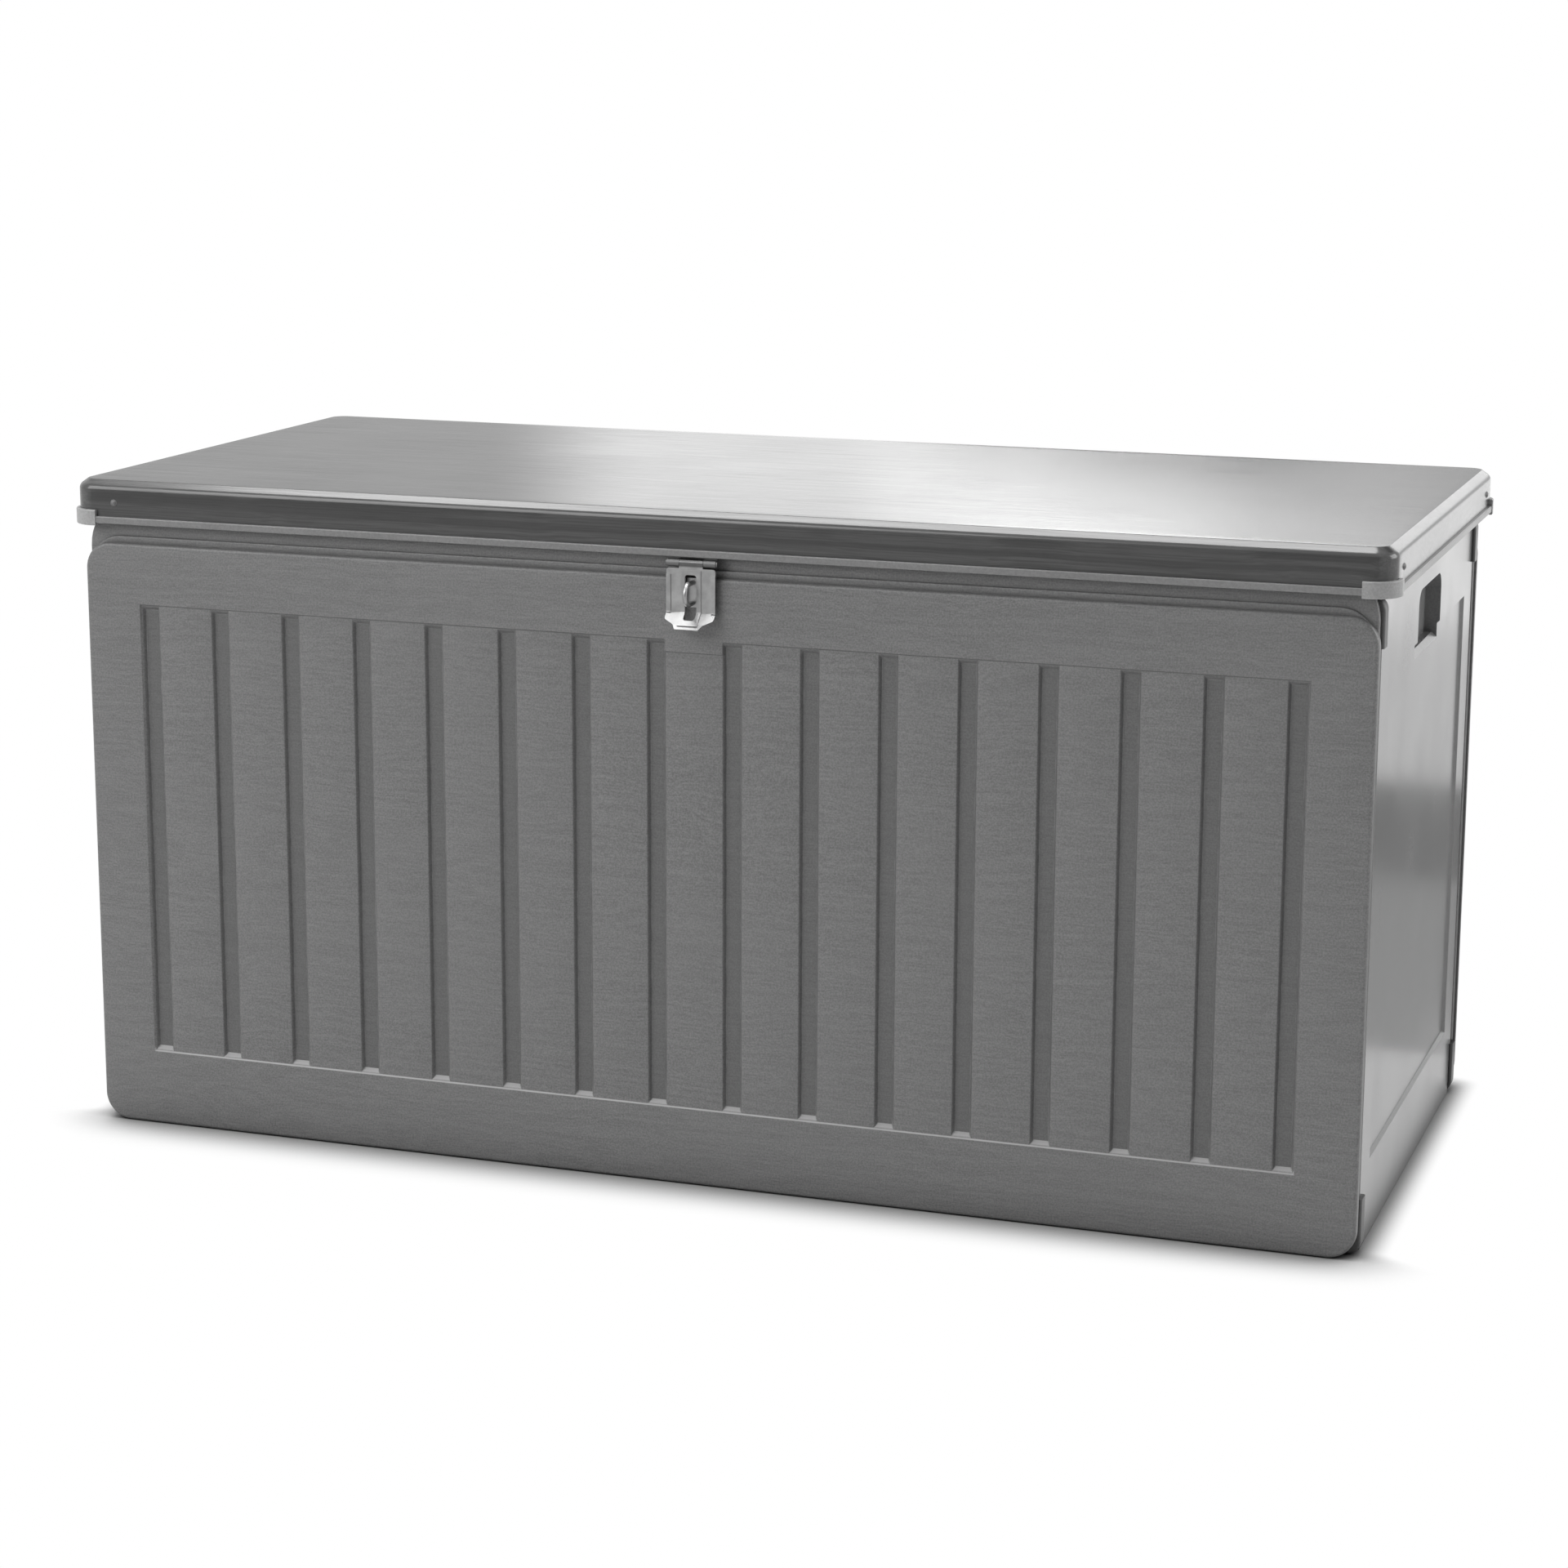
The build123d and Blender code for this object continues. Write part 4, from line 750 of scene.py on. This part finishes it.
# The flap's top by the hinge is painted darker, a painted shadow of the lid's trim.
flap_steel = plated_steel("hasp_flap_plated", level=0.36, gloss=0.3, painted_shadow_above=flap_top - 7.5 * MM)
finishes = {
    "wall_plastic": wall_plastic,
    "floor_plastic": smooth_plastic("floor_plastic_plain", level=0.11, gloss=0.45, wave=0.5 * MM),
    "connector_plastic": smooth_plastic("connector_plastic_black", level=0.014, gloss=0.32, wave=0.1 * MM),
    "lid_sheet": lid_print,
    "trim_plastic": smooth_plastic("trim_plastic_satin", level=0.25, gloss=0.34, wave=0.1 * MM),
    "frame_steel": painted_steel("frame_steel_painted", level=0.08),
    "hasp_steel": plated_steel("hasp_steel_plated", level=0.36, gloss=0.3),
    "hinge_steel": plated_steel("hinge_steel_plated", level=0.5, gloss=0.32),
    "fastener_steel": plated_steel("fastener_steel_plated", level=0.42, gloss=0.3),
}
for row in frame["record"]["subparts"]:
    dress(row["node"], finishes[row["material_slot"]])
for name in nodes:
    if name.endswith("_side_panel"):
        dress(name, side_plastic)
    if name.endswith("_lid_trim"):
        dress(name, strip_plastic)
    if name.startswith("front_") and name.endswith("_connector"):
        dress(name, lighter_connector_plastic)
# Bracket and pin take the darker plated steel, a painted shade under the lid's trim.
dress("hasp_bracket", shaded_zinc)
dress("hasp_pin", shaded_zinc)
dress("hasp_flap", flap_steel)
dress("lid_rivets", painted_steel("lid_rivets_painted", level=0.1))

# Pieces
front_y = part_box("front_panel")[0].y
back_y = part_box("back_panel")[1].y
front_wall = wall_mesh("front_panel", front_y, inward=1, has_pad=True)
back_wall = wall_mesh("back_panel", back_y, inward=-1, has_pad=False)
new_piece("front_wall", "body", front_wall, wall_plastic, ["front_panel"])
new_piece("back_wall", "body", back_wall, wall_plastic, ["back_panel"])
new_piece("lid_top", "lid", lid_mesh(), lid_print, ["lid_shell"])


# Studio


def seen_share(w):
    """1 on rays that show the surface itself: camera, glossy and transmission rays."""
    path = w.add("ShaderNodeLightPath").outputs
    seen = w.calc("MAXIMUM", path["Is Camera Ray"], path["Is Glossy Ray"])
    return w.calc("MAXIMUM", seen, path["Is Transmission Ray"])


def floor_material():
    """Pale floor, shaded where the walls stand close, that runs out to white away from the box.

    Away is the distance beyond the rectangle of the box's foot: the length of max(|place| - half foot, 0).
    """
    material, w = bare_material("studio_floor")
    seen = seen_share(w)
    free = w.add("ShaderNodeAmbientOcclusion", {"Distance": CONTACT_REACH}, samples=16).outputs["AO"]
    shaded = w.blend(w.calc("POWER", free, CONTACT_POWER), (0, 0, 0, 1), FLOOR_GREY)
    near = w.add("ShaderNodeBsdfDiffuse", {"Color": shaded}).outputs[0]
    lit = w.add("ShaderNodeBsdfDiffuse", {"Color": FLOOR_GREY}).outputs[0]
    white = w.add("ShaderNodeEmission", {"Strength": 1.0}).outputs[0]
    far = w.add("ShaderNodeMixShader", {0: seen, 1: lit, 2: white}).outputs[0]
    place = w.add("ShaderNodeTexCoord").outputs["Object"]
    half_foot = (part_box("right_side_panel")[1].x, back_y, 0.0)
    beyond = w.vector("SUBTRACT", w.vector("ABSOLUTE", place), half_foot)
    away = w.measure("LENGTH", w.vector("MAXIMUM", beyond))
    along_y = w.add("ShaderNodeSeparateXYZ", {0: place}).outputs[1]
    run_out = w.remap(along_y, front_y + 30 * MM, front_y - 10 * MM, SHADE_SIDE, SHADE_FRONT)
    share = w.remap(away, 0.0, run_out)
    whole = w.add("ShaderNodeMixShader", {0: share, 1: near, 2: far}).outputs[0]
    w.add("ShaderNodeOutputMaterial", {"Surface": whole})
    return material


def level_corners(z, left, right, front, back):
    """Corners of a level panel."""
    return [(left, front, z), (right, front, z), (right, back, z), (left, back, z)]


def upright_corners(y, left, right, low, high):
    """Corners of an upright panel that runs along X."""
    return [(left, y, low), (right, y, low), (right, y, high), (left, y, high)]


def flat_panel(name, corners, material):
    """A flat four-cornered stage panel."""
    mesh = bpy.data.meshes.new(name)
    mesh.from_pydata(corners, [], [(0, 1, 2, 3)])
    mesh.materials.append(material)
    panel = bpy.data.objects.new(name, mesh)
    bpy.context.scene.collection.objects.link(panel)
    return panel


def mirrored_panel(name, corners):
    """A glowing panel that only reflections show; returns its wiring and its glow's inputs."""
    material, w = bare_material(name)
    glow = w.add("ShaderNodeEmission")
    w.add("ShaderNodeOutputMaterial", {"Surface": glow.outputs[0]})
    panel = flat_panel(name, corners, material)
    panel.visible_camera = False
    panel.visible_diffuse = False
    panel.visible_transmission = False
    panel.visible_shadow = False
    return w, glow.inputs


def card(name, corners, level):
    """A grey card of one level."""
    _, glow = mirrored_panel(name, corners)
    glow["Color"].default_value = grey(level)


def rear_window(name, corners):
    """The bright rear of the room: a pale wall with a soft window at the left and one at the right.

    The right window stands on a slanted sill, and the wall under it is darker.
    """
    w, glow = mirrored_panel(name, corners)
    place = w.add("ShaderNodeTexCoord").outputs["Object"]
    across, _, height = w.add("ShaderNodeSeparateXYZ", {0: place}).outputs
    left = w.remap(across, *LEFT_START)
    right = w.remap(across, *RIGHT_START)
    right_part = w.calc("MULTIPLY", right, w.remap(across, *RIGHT_END))
    slanted = w.calc("SUBTRACT", height, w.calc("MULTIPLY", across, SILL_SLANT))
    over_sill = w.remap(slanted, *SILL_HEIGHT)
    pane = w.calc("MULTIPLY", over_sill, w.remap(height, *WINDOW_HEAD))
    shade = w.calc("MULTIPLY", right, w.remap(over_sill, 0.0, 1.0, SILL_SHADE, 0.0))
    wall = w.calc("SUBTRACT", REAR_WALL, w.calc("MULTIPLY", shade, w.remap(across, *SHADE_END)))
    first = w.calc("MULTIPLY", left, w.remap(right, 0.0, 1.0, LEFT_WINDOW, 0.0))
    second = w.calc("MULTIPLY", right_part, w.calc("MULTIPLY", pane, RIGHT_WINDOW))
    w.put(glow["Strength"], w.calc("ADD", wall, w.calc("ADD", first, second)))


def soft_light(name, place, target, width, height, power):
    """A rectangular lamp turned to a target and hidden from the camera."""
    lamp = bpy.data.lights.new(name, "AREA")
    lamp.shape = "RECTANGLE"
    lamp.size = width
    lamp.size_y = height
    lamp.energy = power
    holder = bpy.data.objects.new(name, lamp)
    holder.location = place
    holder.rotation_euler = (Vector(target) - Vector(place)).to_track_quat("-Z", "Y").to_euler()
    holder.visible_camera = False
    bpy.context.scene.collection.objects.link(holder)


floor_corners = level_corners(-FLOOR_DROP, -FLOOR_HALF, FLOOR_HALF, -FLOOR_HALF, FLOOR_HALF)
flat_panel("studio_floor", floor_corners, floor_material())
card("low_rear_card", upright_corners(y=1.1, left=0.55, right=1.5, low=0.0, high=0.12), level=0.15)
card("side_floor_card", level_corners(z=0.002, left=0.63, right=1.3, front=0.36, back=1.1), level=0.42)
card("front_card", upright_corners(y=-4.8, left=-4.5, right=4.5, low=0.0, high=3.6), level=0.3)
card("high_rear_card", level_corners(z=2.7, left=-3.0, right=2.0, front=1.0, back=2.6), level=0.1)
rear_window("rear_window", upright_corners(y=2.7, left=-3.5, right=0.5, low=0.2, high=2.4))
soft_light("key_light", (-2.4, -3.1, 2.6), (0, 0, 0.3), width=3.2, height=2.6, power=120)
soft_light("top_light", (-0.45, 0.02, 3.0), (-0.45, 0.02, 0), width=2.6, height=1.05, power=74)
soft_light("right_light", (2.9, 0.7, 1.25), (0.6, 0, 0.35), width=1.7, height=1.6, power=38)
soft_light("rear_right_light", (1.0, 2.8, 1.4), (0.6, 0, 0.5), width=1.2, height=1.0, power=4.6)
soft_light("low_right_light", (1.05, 2.8, 0.24), (0.6, 0, 0.45), width=0.9, height=0.44, power=0.8)

world = bpy.data.worlds.new("studio")
bpy.context.scene.world = world
world.use_nodes = True
world.node_tree.nodes.clear()
sky = Wiring(world.node_tree)
toward = sky.add("ShaderNodeTexCoord").outputs["Generated"]
dimness = sky.measure("DOT_PRODUCT", toward, DIM_SIDE)
ambient = sky.remap(dimness, 0.0, 0.7, AMBIENT, AMBIENT * DIM_SHARE)
strength = sky.add("ShaderNodeMix", {"Factor": seen_share(sky), "A": ambient, "B": 1.0}).outputs[0]
backdrop = sky.add("ShaderNodeBackground", {"Color": (1, 1, 1, 1), "Strength": strength}).outputs[0]
sky.add("ShaderNodeOutputWorld", {"Surface": backdrop})

# Camera
lens = bpy.data.cameras.new("camera")
lens.sensor_width = SENSOR
lens.lens = FOCAL_PIXELS / IMAGE_PIXELS * SENSOR
lens.clip_end = CLIP_END
camera = bpy.data.objects.new("camera", lens)
bpy.context.scene.collection.objects.link(camera)
bpy.context.scene.camera = camera
right = Vector((math.cos(CAMERA_AZIMUTH), math.sin(CAMERA_AZIMUTH), 0))
back = Vector((
    math.sin(CAMERA_AZIMUTH) * math.cos(CAMERA_ELEVATION),
    -math.cos(CAMERA_AZIMUTH) * math.cos(CAMERA_ELEVATION),
    math.sin(CAMERA_ELEVATION),
))
up = back.cross(right)
rolled_right = right * math.cos(CAMERA_ROLL) + up * math.sin(CAMERA_ROLL)
rolled_up = back.cross(rolled_right)
turned = Matrix((rolled_right, rolled_up, back)).transposed()
camera.matrix_world = Matrix.LocRotScale(CAMERA_PLACE, turned, Vector((1, 1, 1)))

bpy.context.scene.view_settings.view_transform = "Standard"
